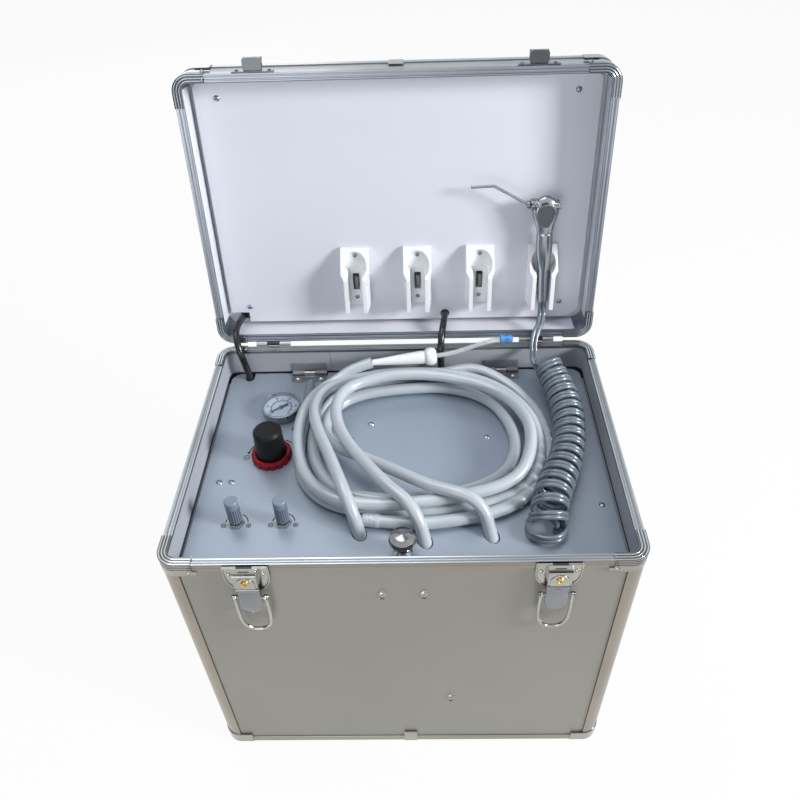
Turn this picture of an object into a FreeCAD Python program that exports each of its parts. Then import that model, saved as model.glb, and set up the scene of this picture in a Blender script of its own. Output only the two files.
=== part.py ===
import FreeCAD, Part
import math
import os

# Portable dental unit in an aluminium-edged case. Millimetres, +Z up, +X to the
# user's right, front at -Y. The origin is the centre of the case's footprint.
# Pieces of the lid are built in its closed place and then swung open together.

V = FreeCAD.Vector

# ---------------------------------------------------------------- driving sizes
# Case body
CASE_W = 410.0
CASE_D = 285.0
CASE_H = 335.0
EDGE_R = 16.0            # outer radius of the upright corner extrusions
SKIN = 1.2               # wall of every aluminium extrusion
BOARD = 4.0              # laminated board of the case walls
LINER = 1.5              # felt-faced lining inside the walls
LIP = 0.8                # inner lip of the rim extrusion
RIM_FLANGE = 9.0         # outer flange of the rim extrusion
RIM_WEB = 2.5            # top of the rim extrusion
RIM_BEAD = 3.2           # width of the bead that stands on the rim's outer half
RIM_BEAD_H = 0.8
FOOT_FLANGE = 8.5        # outer flange of the bottom extrusion
FOOT_WEB = 3.0
POST_LEG = 17.5          # width of the corner extrusion on each face
FLOOR_T = 4.0
SEAM_X = -83.0           # joint between the two rear lining sheets
SEAM_GAP = 0.4

# Corner caps, clips and rivets
CAP_T = 0.8
CAP_LEG = 30.0
CAP_TAB_H = 14.5
CAP_TAB_LEG = 34.0
CAP_TAB_CUT = 14.0
FOOT_CAP_H = 15.0
CLIP_W = 14.0
CLIP_H = 20.0
RIVET_R = 2.4
RIVET_H = 1.2
RIVET_INSET = 27.0
RIVET_DROP = 10.5

# Lid
LID_GAP = 2.0            # between the two rims
LID_DEPTH = 40.0
LID_BOARD = 3.5
LID_OPEN = 97.26         # degrees from closed to the hinge's stop
LID_AXIS_BACK = 2.5      # hinge axis behind the rear face
LID_AXIS_UP = 2.2        # hinge axis above the rim of the case
HINGE_X = CASE_W / 2 - 59.0
HINGE_W = 38.0
HINGE_LEAF_H = 15.0
HINGE_LEAF_T = 1.0
KNUCKLE_R = 2.4
PIN_R = 1.2
RUN_FIT = 0.06           # radial clearance of every pin and shaft
SLOT_FIT = 0.3           # side clearance between hinge knuckles

# Tool panel in the lid
PANEL_FRONT = 28.0       # depth of its face behind the lid's opening
PANEL_T = 1.5
PANEL_SIDE = CASE_W / 2 - 10.0
PANEL_LOW = 10.0         # above the hinge side of the lid
PANEL_HIGH = CASE_D - 14.0
PANEL_CORNER = 5.0
PANEL_CUT = 12.0
PANEL_SCREW_X = CASE_W / 2 - 32.0
PANEL_SCREW_LOW = 29.0
PANEL_SCREW_HIGH = CASE_D - 28.0
STANDOFF_R = 6.0

# Tool holders
HOLDER_PITCH = 67.0
HOLDER_FIRST = -51.0
HOLDER_COUNT = 4
HOLDER_W = 30.0
HOLDER_FRONT_W = 24.0
HOLDER_LOW = 32.0
HOLDER_HIGH = 100.0
HOLDER_DEPTH = 25.0
HOLDER_BLOCK = 28.0      # length of the wide upper block
BOWL_R = 12.7
BOWL_DOWN = 16.0         # bowl centre below the holder's top
HOLDER_BROW = 3.2        # depth of the holder's upper edge
HOLDER_SLOPE = 29.0      # length over which it rises to full depth
CHANNEL_W = 15.5
CHANNEL_FLOOR = 3.0
LEVER_SLOT_W = 7.0
LEVER_SLOT_L = 20.0
LEVER_MID = 60.0         # height of the valve lever in the lid
LEVER_W = 5.6
LEVER_L = 17.0
LEVER_PROUD = 2.0
LEVER_T = 2.6
LEVER_PIN_R = 0.8

# Syringe
SYR_AXIS_OUT = 14.5      # axis in front of the tool panel
SYR_TUBE_R = 4.3
SYR_GRIP_R = 8.8
SYR_LOW = 38.0
SYR_TAPER = 76.0
SYR_SWELL = 87.0
SYR_SWELL_R = 7.2
SYR_GRIP = 104.0
SYR_LEAN = 2.3           # degrees, head towards the other holders
SYR_LEAN_AT = 83.0
SYR_SEAM = 118.5
SYR_TOP = 158.0
SYR_HEAD_W = 26.0
SYR_HEAD_T = 20.0
SYR_CHEEK = 6.5          # flat face in front of the axis
NOZ_Z = 149.5
NOZ_R = 1.5
NOZ_NUT_R = 4.2
NOZ_NUT_L = 3.0
NOZ_SHAFT_R = 2.2
NOZ_SHAFT_L = 8.0
NOZ_RISE = 21.7
NOZ_REACH = 52.0
NOZ_TIP = 75.0
BUTTON_R = 2.6
BUTTON_L = 7.0
BUTTON_PITCH = 7.0
BUTTON_TRAVEL = 2.0

# Instrument deck
DECK_DROP = 33.0         # deck face below the rim
DECK_T = 2.0
DECK_SIDE = CASE_W / 2 - 9.5
DECK_FRONT = 8.5 - CASE_D / 2
DECK_REAR = CASE_D / 2 - 8.5
DECK_CORNER = 12.0
DECK_HINGE_X = CASE_W / 2 - 97.5
DECK_HINGE_W = 38.0
DECK_LEAF_Y = 11.0
DECK_LEAF_T = 1.2
DECK_AXIS_Y = CASE_D / 2 - 11.1
DECK_AXIS_UP = 2.6
DECK_KNUCKLE_R = 2.2
LEDGE = 12.0
LEDGE_T = 1.5
LEDGE_SHORT = 55.0       # the front ledge stops this far from the side faces

# Gauge
GAUGE_X = 73.5 - CASE_W / 2
GAUGE_Y = 72.0
GAUGE_R = 21.0
GAUGE_H = 11.0
GAUGE_BEZEL = 2.2
GAUGE_STEM_R = 6.0
GAUGE_STEM_L = 18.0
GLASS_T = 1.2
NEEDLE_L = 13.0

# Air regulator
REG_X = 72.0 - CASE_W / 2
REG_Y = 8.0
REG_KNOB_H = 31.0
REG_KNOB_TOP_R = 14.0
REG_KNOB_R = 15.0
REG_RING_R = 20.0
REG_RING_H = 7.0
REG_BODY_W = 40.0
REG_BODY_H = 48.0
REG_SPINDLE_R = 4.0

# Needle valves for cup and tool water
VALVE_XS = (51.0 - CASE_W / 2, 94.4 - CASE_W / 2)
VALVE_Y = -74.8
VALVE_NUT_AF = 14.0
VALVE_NUT_H = 4.5
VALVE_STEM_R = 3.0
VALVE_BODY_R = 7.0
VALVE_BODY_H = 24.0
KNOB_R = 6.2
KNOB_H = 27.0
KNOB_RIBS = 18

# Lift knob
LIFT_X = 0.0
LIFT_Y = 33.0 - CASE_D / 2
LIFT_HEAD_R = 12.2
LIFT_H = 27.0

# Deck screws and the bare hole
DECK_SCREWS = (
    (-180.0, -25.5), (-168.0, -25.5), (-35.0, 51.0), (-55.0, 30.0),
    (84.0, 30.0), (107.5, 37.5), (109.5, -59.0), (184.5, -59.0),
)
SCREW_R = 3.0
SCREW_H = 1.6
BARE_HOLE = (-116.0, 45.5)
BARE_HOLE_R = 2.0

# Hoses
HOSE_R = 6.0
HOSE_HOLE_GAP = 0.8
HOSE_RISE = 34.0         # straight rise of each hose above the deck
HOSE_EXITS = ((-40.0, -88.0), (19.5, -97.0), (79.5, -92.0))
GLAND_L = 12.0
GLAND_WALL = 3.0
TUBE_R = 3.75            # black supply tubes to the lid
TUBE_LEFT_X = 30.0 - CASE_W / 2
TUBE_CENTRE_X = 41.0
TUBE_Y = CASE_D / 2 - 16.0
TUBE_NOTCH_GAP = 1.2
TUBE_HOLE_X = 46.0
TWIN_R = 4.4             # outer radius of the air and water pair
COIL_R = 16.5
COIL_LOOP_X = 128.6
COIL_LOOP_Y = -89.0
COIL_LOOP_R = 17.0
COIL_LOOP_TUBE = 2.4
COIL_GLAND = (137.5, -88.0)
COUPLING_X = -103.5
COUPLING_Y = 67.5
COUPLING_L = 44.0
EJECTOR_R = 2.6
EJECTOR_TIP_R = 4.0
EJECTOR_TIP_L = 13.0
EJECTOR_TIP_X = 111.0
EJECTOR_TIP_Y = 127.5
EJECTOR_TIP_H = 49.8

# Hose coil on the deck: two layers all round and a third, narrower one
HANK_X = 17.0
HANK_Y = 20.0
HANK_OUT_X = 128.0
HANK_OUT_Y = 104.0
HANK_IN_X = 72.0
HANK_IN_Y = 62.0
HANK_LOW_H = 22.6
HANK_TOP_OUT_X = 112.0
HANK_TOP_OUT_Y = 84.0
HANK_TOP_H = 33.0
REST_GAP = 0.3

# Latches
LATCH_X = CASE_W / 2 - 75.0
LATCH_PLATE_W = 38.0
LATCH_PLATE_H = 34.0
LATCH_PLATE_T = 1.2
LATCH_BOX_W = 20.0
LATCH_BOX_D = 8.0
LATCH_BOX_TOP = 1.5
LATCH_BOX_H = 22.0
LATCH_LOCK_R = 3.2
LATCH_LOCK_DROP = 13.5
LATCH_PIVOT_DROP = 26.5
LATCH_PIVOT_OUT = 6.0
LEVER_ARM_W = 20.0
LEVER_ARM_H = 31.5
LEVER_ARM_T = 1.6
BAIL_DROP = 38.5
BAIL_L = 49.5
BAIL_HALF = 15.0
BAIL_WIRE_R = 1.2
BAIL_BEND = 6.0
CATCH_W = 20.0
CATCH_H = 8.0
CATCH_OUT = 7.0
CATCH_UP = 0.5

# Carry handle on the lid
HANDLE_HALF = 58.0
HANDLE_REACH = 34.0
HANDLE_R = 7.0
HANDLE_ARM_R = 3.5
HANDLE_PIVOT_OUT = 7.0
HANDLE_Y = -6.0
HANDLE_INSET = 7.2       # arm centre inside its ear

# Screws in the front wall
FRONT_SCREWS = ((-18.0, 47.0), (18.0, 47.0), (43.0, 236.0))
FRONT_SCREW_R = 4.2
FRONT_SCREW_H = 2.2

# Pump and bottles under the deck
PUMP_X = -70.0
PUMP_Y = CASE_D / 2 - 102.5
PUMP_Z = 92.0
PUMP_R = 44.0
PUMP_L = 120.0
HEAD_W = 58.0
HEAD_D = 74.0
HEAD_H = 62.0
PUMP_BASE_T = 6.0
FOOT_R = 12.0
FOOT_H = 22.0
BOTTLE_R = 40.0
BOTTLE_H = 150.0
BOTTLE_CAP_R = 20.0
BOTTLE_CAP_H = 22.0
BOTTLE_XS = (68.0, 152.0)
BOTTLE_Y = 60.5 - CASE_D / 2
RACK_T = 2.0

# Rear inlets
INLET_X = CASE_W / 2 - 85.0
INLET_Z = 70.0
INLET_W = 60.0
INLET_H = 40.0
INLET_T = 2.0
INLET_DEEP = 34.0
SOCKET_W = 22.0
SOCKET_H = 18.0
SOCKET_DEEP = 20.0
ROCKER_W = 12.0
ROCKER_H = 20.0
ROCKER_DEEP = 14.0
ROCKER_PROUD = 4.0
ROCKER_PIN_R = 1.2
ROCKER_TILT = 7.0
RACK_H = 28.0
UNION_TOP = CASE_H - 49.0
UNION_L = 18.0
UNION_R = 6.0
TUBE_DUCT = 16.5         # height of the air duct behind the tool panel
EAR_T = 1.6
EAR_R = 2.4

# ---------------------------------------------------------------- derived places
HALF_W = CASE_W / 2
HALF_D = CASE_D / 2
WALL = SKIN + BOARD
INNER = WALL + LINER
RIM_IN = INNER + LIP
RIM_Z = CASE_H
DECK_Z = RIM_Z - DECK_DROP
LID_Z = RIM_Z + LID_GAP
LID_TOP = LID_Z + LID_DEPTH
LID_INNER = LID_TOP - SKIN - LID_BOARD
PANEL_Z = LID_Z + PANEL_FRONT
LID_AXIS = V(0, HALF_D + LID_AXIS_BACK, RIM_Z + LID_AXIS_UP)
DECK_AXIS_Z = DECK_Z + DECK_AXIS_UP
FRONT = -HALF_D
HOLDER_XS = [HOLDER_FIRST + HOLDER_PITCH * i for i in range(HOLDER_COUNT)]
SYR_X = HOLDER_XS[-1]
SYR_Z = PANEL_Z - SYR_AXIS_OUT

HANDLE_TAIL = V(-35, 114, DECK_Z + 30.8)
SUCTION_HEAD = V(35, 120.5, DECK_Z + 33.5)

X_AXIS = V(1, 0, 0)
Y_AXIS = V(0, 1, 0)
Z_AXIS = V(0, 0, 1)


# ---------------------------------------------------------------- shape helpers
def box(x0, x1, y0, y1, z0, z1):
    """Box between two corners."""
    return Part.makeBox(x1 - x0, y1 - y0, z1 - z0, V(x0, y0, z0))


def box_at(cx, cy, width, depth, z0, z1):
    """Upright box centred on a plan point."""
    return box(cx - width / 2, cx + width / 2, cy - depth / 2, cy + depth / 2, z0, z1)


def slab(width, depth, radius, z0, z1):
    """Upright prism on a rounded rectangle about the Z axis."""
    body = box(-width / 2, width / 2, -depth / 2, depth / 2, z0, z1)
    upright = [e for e in body.Edges if abs(e.BoundBox.ZLength - (z1 - z0)) < 1e-6]
    return body.makeFillet(radius, upright)


def frame(width, depth, radius, wall, z0, z1):
    """Rounded rectangular ring of even wall."""
    inner_radius = max(radius - wall, 1.0)
    hole = slab(width - 2 * wall, depth - 2 * wall, inner_radius, z0 - 1, z1 + 1)
    return slab(width, depth, radius, z0, z1).cut(hole)


def rod(start, end, radius):
    """Round bar between two points."""
    return Part.makeCylinder(radius, (end - start).Length, start, end - start)


def cone(start, end, radius_start, radius_end):
    """Tapered round bar between two points."""
    return Part.makeCone(radius_start, radius_end, (end - start).Length, start, end - start)


def upright_rod(x, y, z0, z1, radius):
    """Vertical round bar."""
    return Part.makeCylinder(radius, z1 - z0, V(x, y, z0))


def prism(points, along):
    """Straight prism on a closed outline."""
    face = Part.Face(Part.makePolygon(list(points) + [points[0]]))
    return face.extrude(along)


def turned(profile, x, y, z):
    """Solid of revolution about a vertical axis, from (radius, height) points."""
    points = [V(r, 0, h) for r, h in profile]
    face = Part.Face(Part.makePolygon(points + [points[0]]))
    body = face.revolve(V(0, 0, 0), Z_AXIS, 360)
    body.translate(V(x, y, z))
    return body


def dome(centre, normal, radius, height):
    """Low round head of a screw or rivet, seated on a plane."""
    ball_radius = (radius * radius + height * height) / (2 * height)
    ball = Part.makeSphere(ball_radius, centre - normal * (ball_radius - height))
    return ball.common(Part.makeCylinder(radius + 1, height + 1, centre, normal))


def fused(shapes):
    """One solid from overlapping or touching pieces."""
    body = shapes[0]
    for shape in shapes[1:]:
        body = body.fuse(shape)
    return body.removeSplitter()


def group(shapes):
    """Separate solids that share one node."""
    solids = []
    for shape in shapes:
        solids.extend(shape.Solids)
    return Part.makeCompound(solids)


def mirror_x(shape):
    return shape.mirror(V(0, 0, 0), X_AXIS)


def mirror_y(shape):
    return shape.mirror(V(0, 0, 0), Y_AXIS)


def four_corners(shape):
    """A corner piece and its three mirror images."""
    pair = [shape, mirror_x(shape)]
    return pair + [mirror_y(one) for one in pair]


def opened(shape):
    """Swing a piece of the closed lid open about the lid hinge."""
    swung = shape.copy()
    swung.rotate(LID_AXIS, X_AXIS, -LID_OPEN)
    return swung


def opened_point(point):
    """Where a point of the closed lid lies when the lid is open."""
    turn = FreeCAD.Rotation(X_AXIS, -LID_OPEN)
    return LID_AXIS + turn.multVec(point - LID_AXIS)


def lid_point(x, height, out_of_panel):
    """Open-lid place of a point given by its height above the hinge side."""
    return opened_point(V(x, HALF_D - height, PANEL_Z - out_of_panel))


def tube(points, radius, name, bend=math.inf):
    """Round tube along straight runs joined by tangent arcs, as large as fits or as stated."""
    lengths = [(b - a).Length for a, b in zip(points, points[1:])]
    edges = []
    radii = []
    start = points[0]
    for i in range(1, len(points) - 1):
        corner = points[i]
        back = (points[i - 1] - corner).normalize()
        ahead = (points[i + 1] - corner).normalize()
        half_turn = (math.pi - back.getAngle(ahead)) / 2
        trim = min(0.45 * min(lengths[i - 1], lengths[i]), bend * math.tan(half_turn))
        radii.append(trim / math.tan(half_turn))
        arc_start = corner + back * trim
        arc_end = corner + ahead * trim
        middle = corner + (back + ahead).normalize() * (
            radii[-1] / math.cos(half_turn) - radii[-1])
        edges.append(Part.LineSegment(start, arc_start).toShape())
        edges.append(Part.Arc(arc_start, middle, arc_end).toShape())
        start = arc_end
    edges.append(Part.LineSegment(start, points[-1]).toShape())
    path = Part.Wire(edges)
    ring = Part.Wire([Part.makeCircle(radius, points[0], points[1] - points[0])])
    body = path.makePipeShell([ring], True, False)
    expected = math.pi * radius ** 2 * path.Length
    report = (name, round(path.Length, 1), round(min(radii), 1), round(body.Volume / expected, 4))
    print("tube %s: length %s, least radius %s, volume ratio %s" % report)
    return body


def save(name, shape):
    """Write one node."""
    if not shape.isValid():
        print("INVALID", name)
    shape.exportStep("parts/%s.step" % name)
    print("%-20s solids %2d  volume %10.0f" % (name, len(shape.Solids), shape.Volume))


# ---------------------------------------------------------------- case shell
def board_walls(z0, z1, thickness):
    """Front, rear, left and right boards between the corner extrusions."""
    reach_x = HALF_W - EDGE_R
    reach_y = HALF_D - EDGE_R
    front = box(-reach_x, reach_x, -HALF_D + SKIN, -HALF_D + SKIN + thickness, z0, z1)
    left = box(-HALF_W + SKIN, -HALF_W + SKIN + thickness, -reach_y, reach_y, z0, z1)
    return [front, mirror_y(front), left, mirror_x(left)]


def edge_posts(z0, z1, boards):
    """Quarter-round upright extrusions that clasp the boards' ends."""
    ring = frame(CASE_W, CASE_D, EDGE_R, WALL, z0, z1)
    corner = box(HALF_W - POST_LEG, HALF_W, HALF_D - POST_LEG, HALF_D, z0, z1)
    posts = []
    for window in four_corners(corner):
        post = ring.common(window)
        for board in boards:
            post = post.cut(board)
        posts.append(post)
    return posts


def rim_rail():
    """Bent extrusion that caps the case walls, with a raised outer bead."""
    rail = frame(CASE_W, CASE_D, EDGE_R, RIM_IN, RIM_Z - RIM_FLANGE, RIM_Z)
    pocket = frame(CASE_W - 2 * SKIN, CASE_D - 2 * SKIN, EDGE_R - SKIN, INNER - SKIN,
                   RIM_Z - RIM_FLANGE - 1, RIM_Z - RIM_WEB)
    inside = slab(CASE_W - 2 * INNER, CASE_D - 2 * INNER, EDGE_R - INNER,
                  RIM_Z - RIM_FLANGE - 1, RIM_Z - RIM_WEB - SKIN)
    rail = rail.cut(pocket).cut(inside)
    low_half = frame(CASE_W - 2 * RIM_BEAD, CASE_D - 2 * RIM_BEAD, EDGE_R - RIM_BEAD,
                     RIM_IN, RIM_Z - RIM_BEAD_H, RIM_Z + 1)
    return rail.cut(low_half)


def foot_rail():
    """Bent extrusion round the bottom edge: a flange outside, a web under the boards."""
    web = frame(CASE_W, CASE_D, EDGE_R, POST_LEG, 0, FOOT_WEB)
    flange = frame(CASE_W, CASE_D, EDGE_R, SKIN, 0, FOOT_FLANGE)
    return fused([web, flange])


def floor_board():
    """Rebated bottom board: flush below, and reaching to the side boards above."""
    lower = slab(CASE_W - 2 * POST_LEG, CASE_D - 2 * POST_LEG, 1.0, 0, FOOT_WEB)
    upper = slab(CASE_W - 2 * WALL, CASE_D - 2 * WALL, EDGE_R - WALL,
                 FOOT_WEB, FOOT_WEB + FLOOR_T)
    return fused([lower, upper])


def rim_cap():
    """Chromed cap over one rim corner, with a riveted tab on each face."""
    z_low = RIM_Z - CAP_TAB_H
    outside = slab(CASE_W + 2 * CAP_T, CASE_D + 2 * CAP_T, EDGE_R + CAP_T, z_low, RIM_Z + CAP_T)
    shell = outside.cut(slab(CASE_W, CASE_D, EDGE_R, z_low - 1, RIM_Z))
    shell = shell.cut(slab(CASE_W - 2 * RIM_IN, CASE_D - 2 * RIM_IN, EDGE_R - RIM_IN,
                           z_low - 1, RIM_Z + 2 * CAP_T))
    leg = box(HALF_W - CAP_LEG, HALF_W + CAP_T, HALF_D - CAP_LEG, HALF_D + CAP_T,
              z_low, RIM_Z + CAP_T)
    tab_z = RIM_Z - RIM_FLANGE
    x_in = HALF_W - CAP_TAB_LEG
    y_in = HALF_D - CAP_TAB_LEG
    tab_x = prism([V(x_in, HALF_D - POST_LEG, tab_z), V(x_in, HALF_D - POST_LEG, z_low + 2),
                   V(x_in + CAP_TAB_CUT, HALF_D - POST_LEG, z_low),
                   V(HALF_W, HALF_D - POST_LEG, z_low), V(HALF_W, HALF_D - POST_LEG, tab_z)],
                  V(0, POST_LEG + CAP_T, 0))
    tab_y = prism([V(HALF_W - POST_LEG, y_in, tab_z), V(HALF_W - POST_LEG, y_in, z_low + 2),
                   V(HALF_W - POST_LEG, y_in + CAP_TAB_CUT, z_low),
                   V(HALF_W - POST_LEG, HALF_D, z_low), V(HALF_W - POST_LEG, HALF_D, tab_z)],
                  V(POST_LEG + CAP_T, 0, 0))
    rim_part = leg.common(box(0, CASE_W, 0, CASE_D, tab_z, RIM_Z + CAP_T))
    return shell.common(fused([rim_part, tab_x, tab_y]))


def foot_cap():
    """Chromed cap round one bottom corner, flush underneath."""
    outside = slab(CASE_W + 2 * CAP_T, CASE_D + 2 * CAP_T, EDGE_R + CAP_T, 0, FOOT_CAP_H)
    shell = outside.cut(slab(CASE_W, CASE_D, EDGE_R, -1, FOOT_CAP_H + 1))
    corner = box(HALF_W - CAP_LEG, HALF_W + CAP_T, HALF_D - CAP_LEG, HALF_D + CAP_T,
                 0, FOOT_CAP_H)
    return shell.common(corner)


def seam_clip(z0, z1):
    """Flat clip over the joint of a bent extrusion, on the front face."""
    return box(-CLIP_W / 2, CLIP_W / 2, FRONT - CAP_T, FRONT, z0, z1)


def lining():
    """Felt-faced sheets inside the walls, with the rear joint open by a hair."""
    ring = frame(CASE_W - 2 * WALL, CASE_D - 2 * WALL, EDGE_R - WALL, LINER,
                 FOOT_WEB + FLOOR_T, RIM_Z - RIM_WEB)
    seam = box(SEAM_X - SEAM_GAP / 2, SEAM_X + SEAM_GAP / 2,
               HALF_D - INNER - 1, HALF_D - WALL + 1, 0, RIM_Z)
    return ring.cut(seam)


def case_shell(inlet_hole):
    walls = [wall.cut(inlet_hole) for wall in board_walls(FOOT_WEB, RIM_Z - RIM_WEB, BOARD)]
    rim = rim_rail()
    foot = foot_rail()
    posts = []
    for post in edge_posts(FOOT_WEB, RIM_Z - RIM_WEB, walls):
        posts.append(post.cut(rim).cut(foot))
    save("case_panels", group(walls + [floor_board()]))
    save("case_rails", group([rim, foot] + posts))
    clips = [seam_clip(FOOT_FLANGE - RIM_FLANGE + 0.5, CLIP_H)]
    clips.append(mirror_y(clips[0]))
    caps = four_corners(rim_cap()) + four_corners(foot_cap())
    save("case_fittings", group(caps + clips + case_rivets()))
    save("case_lining", lining().cut(inlet_hole))


def case_rivets():
    """Rivets of the caps and the screws that come through the front wall."""
    pieces = []
    for x_side in (-1, 1):
        for face, normal in ((FRONT - CAP_T, V(0, -1, 0)), (-FRONT + CAP_T, Y_AXIS)):
            x = x_side * (HALF_W - RIVET_INSET)
            pieces.append(dome(V(x, face, RIM_Z - RIVET_DROP), normal, RIVET_R, RIVET_H))
            pieces.append(dome(V(x, face, FOOT_CAP_H - RIVET_R), normal, RIVET_R, RIVET_H))
        for y_side in (-1, 1):
            y = y_side * (HALF_D - RIVET_INSET)
            x = x_side * (HALF_W + CAP_T)
            normal = V(x_side, 0, 0)
            pieces.append(dome(V(x, y, RIM_Z - RIVET_DROP), normal, RIVET_R, RIVET_H))
            pieces.append(dome(V(x, y, FOOT_CAP_H - RIVET_R), normal, RIVET_R, RIVET_H))
    for x, drop in FRONT_SCREWS:
        seat = V(x, FRONT + SKIN, RIM_Z - drop)
        pieces.append(dome(seat, V(0, -1, 0), FRONT_SCREW_R, FRONT_SCREW_H))
    return pieces


# ---------------------------------------------------------------- lid shell
def lid_mirror(shape):
    """Turn a piece of the case upside down onto the lid's rim."""
    return shape.mirror(V(0, 0, (RIM_Z + LID_Z) / 2), Z_AXIS)


def lid_shell():
    walls = board_walls(LID_Z + RIM_WEB, LID_TOP - FOOT_WEB, BOARD)
    rim = lid_mirror(rim_rail())
    back = foot_rail()
    back = back.mirror(V(0, 0, LID_TOP / 2), Z_AXIS)
    cover = slab(CASE_W - 2 * POST_LEG, CASE_D - 2 * POST_LEG, 1.0, LID_TOP - FOOT_WEB, LID_TOP)
    cover_in = slab(CASE_W - 2 * WALL, CASE_D - 2 * WALL, EDGE_R - WALL,
                    LID_INNER, LID_TOP - FOOT_WEB)
    posts = []
    for post in edge_posts(LID_Z + RIM_WEB, LID_TOP - FOOT_WEB, walls):
        posts.append(post.cut(rim).cut(back))
    save("lid_panels", opened(group(walls + [fused([cover, cover_in])])))
    save("lid_rails", opened(group([rim, back] + posts)))


def lid_fittings():
    """Caps, seam clip, handle brackets and hinge leaves of the lid."""
    caps = [lid_mirror(cap) for cap in four_corners(rim_cap())]
    backs = []
    for cap in four_corners(foot_cap()):
        backs.append(cap.mirror(V(0, 0, LID_TOP / 2), Z_AXIS))
    clip = seam_clip(LID_TOP - CLIP_H, LID_TOP)
    brackets = [handle_bracket(side) for side in (-1, 1)]
    leaves = [lid_leaf(side) for side in (-1, 1)]
    pieces = caps + backs + [clip] + brackets + leaves + lid_fasteners()
    save("lid_fittings", opened(group(pieces)))


def knuckle_span(side, share_from, share_to):
    """X range of one knuckle of a lid hinge, as shares of the hinge's width."""
    low = side * HINGE_X - HINGE_W / 2
    return low + share_from * HINGE_W, low + share_to * HINGE_W


def case_hinge(side):
    """Leaf on the case's rear face with the two outer knuckles, and the pin."""
    x0, x1 = knuckle_span(side, 0, 1)
    y0 = HALF_D
    top = LID_AXIS.z - KNUCKLE_R - SLOT_FIT
    leaf = box(x0, x1, y0, y0 + HINGE_LEAF_T, RIM_Z - HINGE_LEAF_H, LID_AXIS.z)
    clear = rod(V(x0 - 1, LID_AXIS.y, LID_AXIS.z), V(x1 + 1, LID_AXIS.y, LID_AXIS.z),
                KNUCKLE_R + SLOT_FIT)
    low_leaf = box(x0, x1, y0, y0 + HINGE_LEAF_T, RIM_Z - HINGE_LEAF_H, top)
    bore = rod(V(x0 - 1, LID_AXIS.y, LID_AXIS.z), V(x1 + 1, LID_AXIS.y, LID_AXIS.z), PIN_R)
    knuckles = []
    for share_from, share_to in ((0, 0.33), (0.67, 1)):
        a, b = knuckle_span(side, share_from, share_to)
        barrel = rod(V(a, LID_AXIS.y, LID_AXIS.z), V(b, LID_AXIS.y, LID_AXIS.z), KNUCKLE_R)
        tongue = leaf.common(box(a, b, 0, CASE_D, 0, LID_AXIS.z))
        knuckles.append(fused([barrel, tongue]))
    body = fused([low_leaf.cut(clear)] + knuckles).cut(bore)
    pin = rod(V(x0, LID_AXIS.y, LID_AXIS.z), V(x1, LID_AXIS.y, LID_AXIS.z), PIN_R - RUN_FIT)
    return [body, pin]


def lid_leaf(side):
    """Leaf on the lid's rear face with the middle knuckle."""
    x0, x1 = knuckle_span(side, 0, 1)
    a, b = knuckle_span(side, 0.33, 0.67)
    a += SLOT_FIT
    b -= SLOT_FIT
    clear_z = LID_AXIS.z + KNUCKLE_R + SLOT_FIT
    leaf = box(x0, x1, HALF_D, HALF_D + HINGE_LEAF_T, clear_z, LID_Z + HINGE_LEAF_H)
    tongue = box(a, b, HALF_D, HALF_D + HINGE_LEAF_T, LID_AXIS.z, clear_z)
    barrel = rod(V(a, LID_AXIS.y, LID_AXIS.z), V(b, LID_AXIS.y, LID_AXIS.z), KNUCKLE_R)
    bore = rod(V(a - 1, LID_AXIS.y, LID_AXIS.z), V(b + 1, LID_AXIS.y, LID_AXIS.z), PIN_R)
    return fused([leaf, tongue, barrel]).cut(bore)


def handle_pivot(side):
    return V(side * HANDLE_HALF, HANDLE_Y, LID_TOP + HANDLE_PIVOT_OUT)


def handle_bracket(side):
    """Plate and ear that carry one end of the carry handle."""
    pivot = handle_pivot(side)
    plate = box_at(pivot.x, pivot.y, 22, 26, LID_TOP, LID_TOP + 1.5)
    ear_x = pivot.x - side * 1.5
    ear = box_at(ear_x, pivot.y, 3, 12, LID_TOP, pivot.z + 4)
    bore = rod(pivot - V(12, 0, 0), pivot + V(12, 0, 0), HANDLE_ARM_R / 2 + RUN_FIT)
    return fused([plate, ear]).cut(bore)


def carry_handle():
    """Swinging handle, hung straight down from its brackets when the lid is open."""
    left = handle_pivot(-1)
    right = handle_pivot(1)
    reach = V(0, HANDLE_REACH, 0)
    inset = V(HANDLE_INSET, 0, 0)
    pins = [rod(left - V(1.5, 0, 0), left + inset, HANDLE_ARM_R / 2),
            rod(right - inset, right + V(1.5, 0, 0), HANDLE_ARM_R / 2)]
    arms = [rod(left + inset - V(0, HANDLE_ARM_R, 0), left + inset + reach, HANDLE_ARM_R),
            rod(right - inset - V(0, HANDLE_ARM_R, 0), right - inset + reach, HANDLE_ARM_R)]
    grip = rod(left + reach, right + reach, HANDLE_R)
    body = fused(pins + arms + [grip])
    hang = 90 - LID_OPEN
    body.rotate(left, X_AXIS, -hang)
    save("carry_handle", opened(body))


def hinges():
    save("case_hinges", group(case_hinge(-1) + case_hinge(1)))


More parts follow.
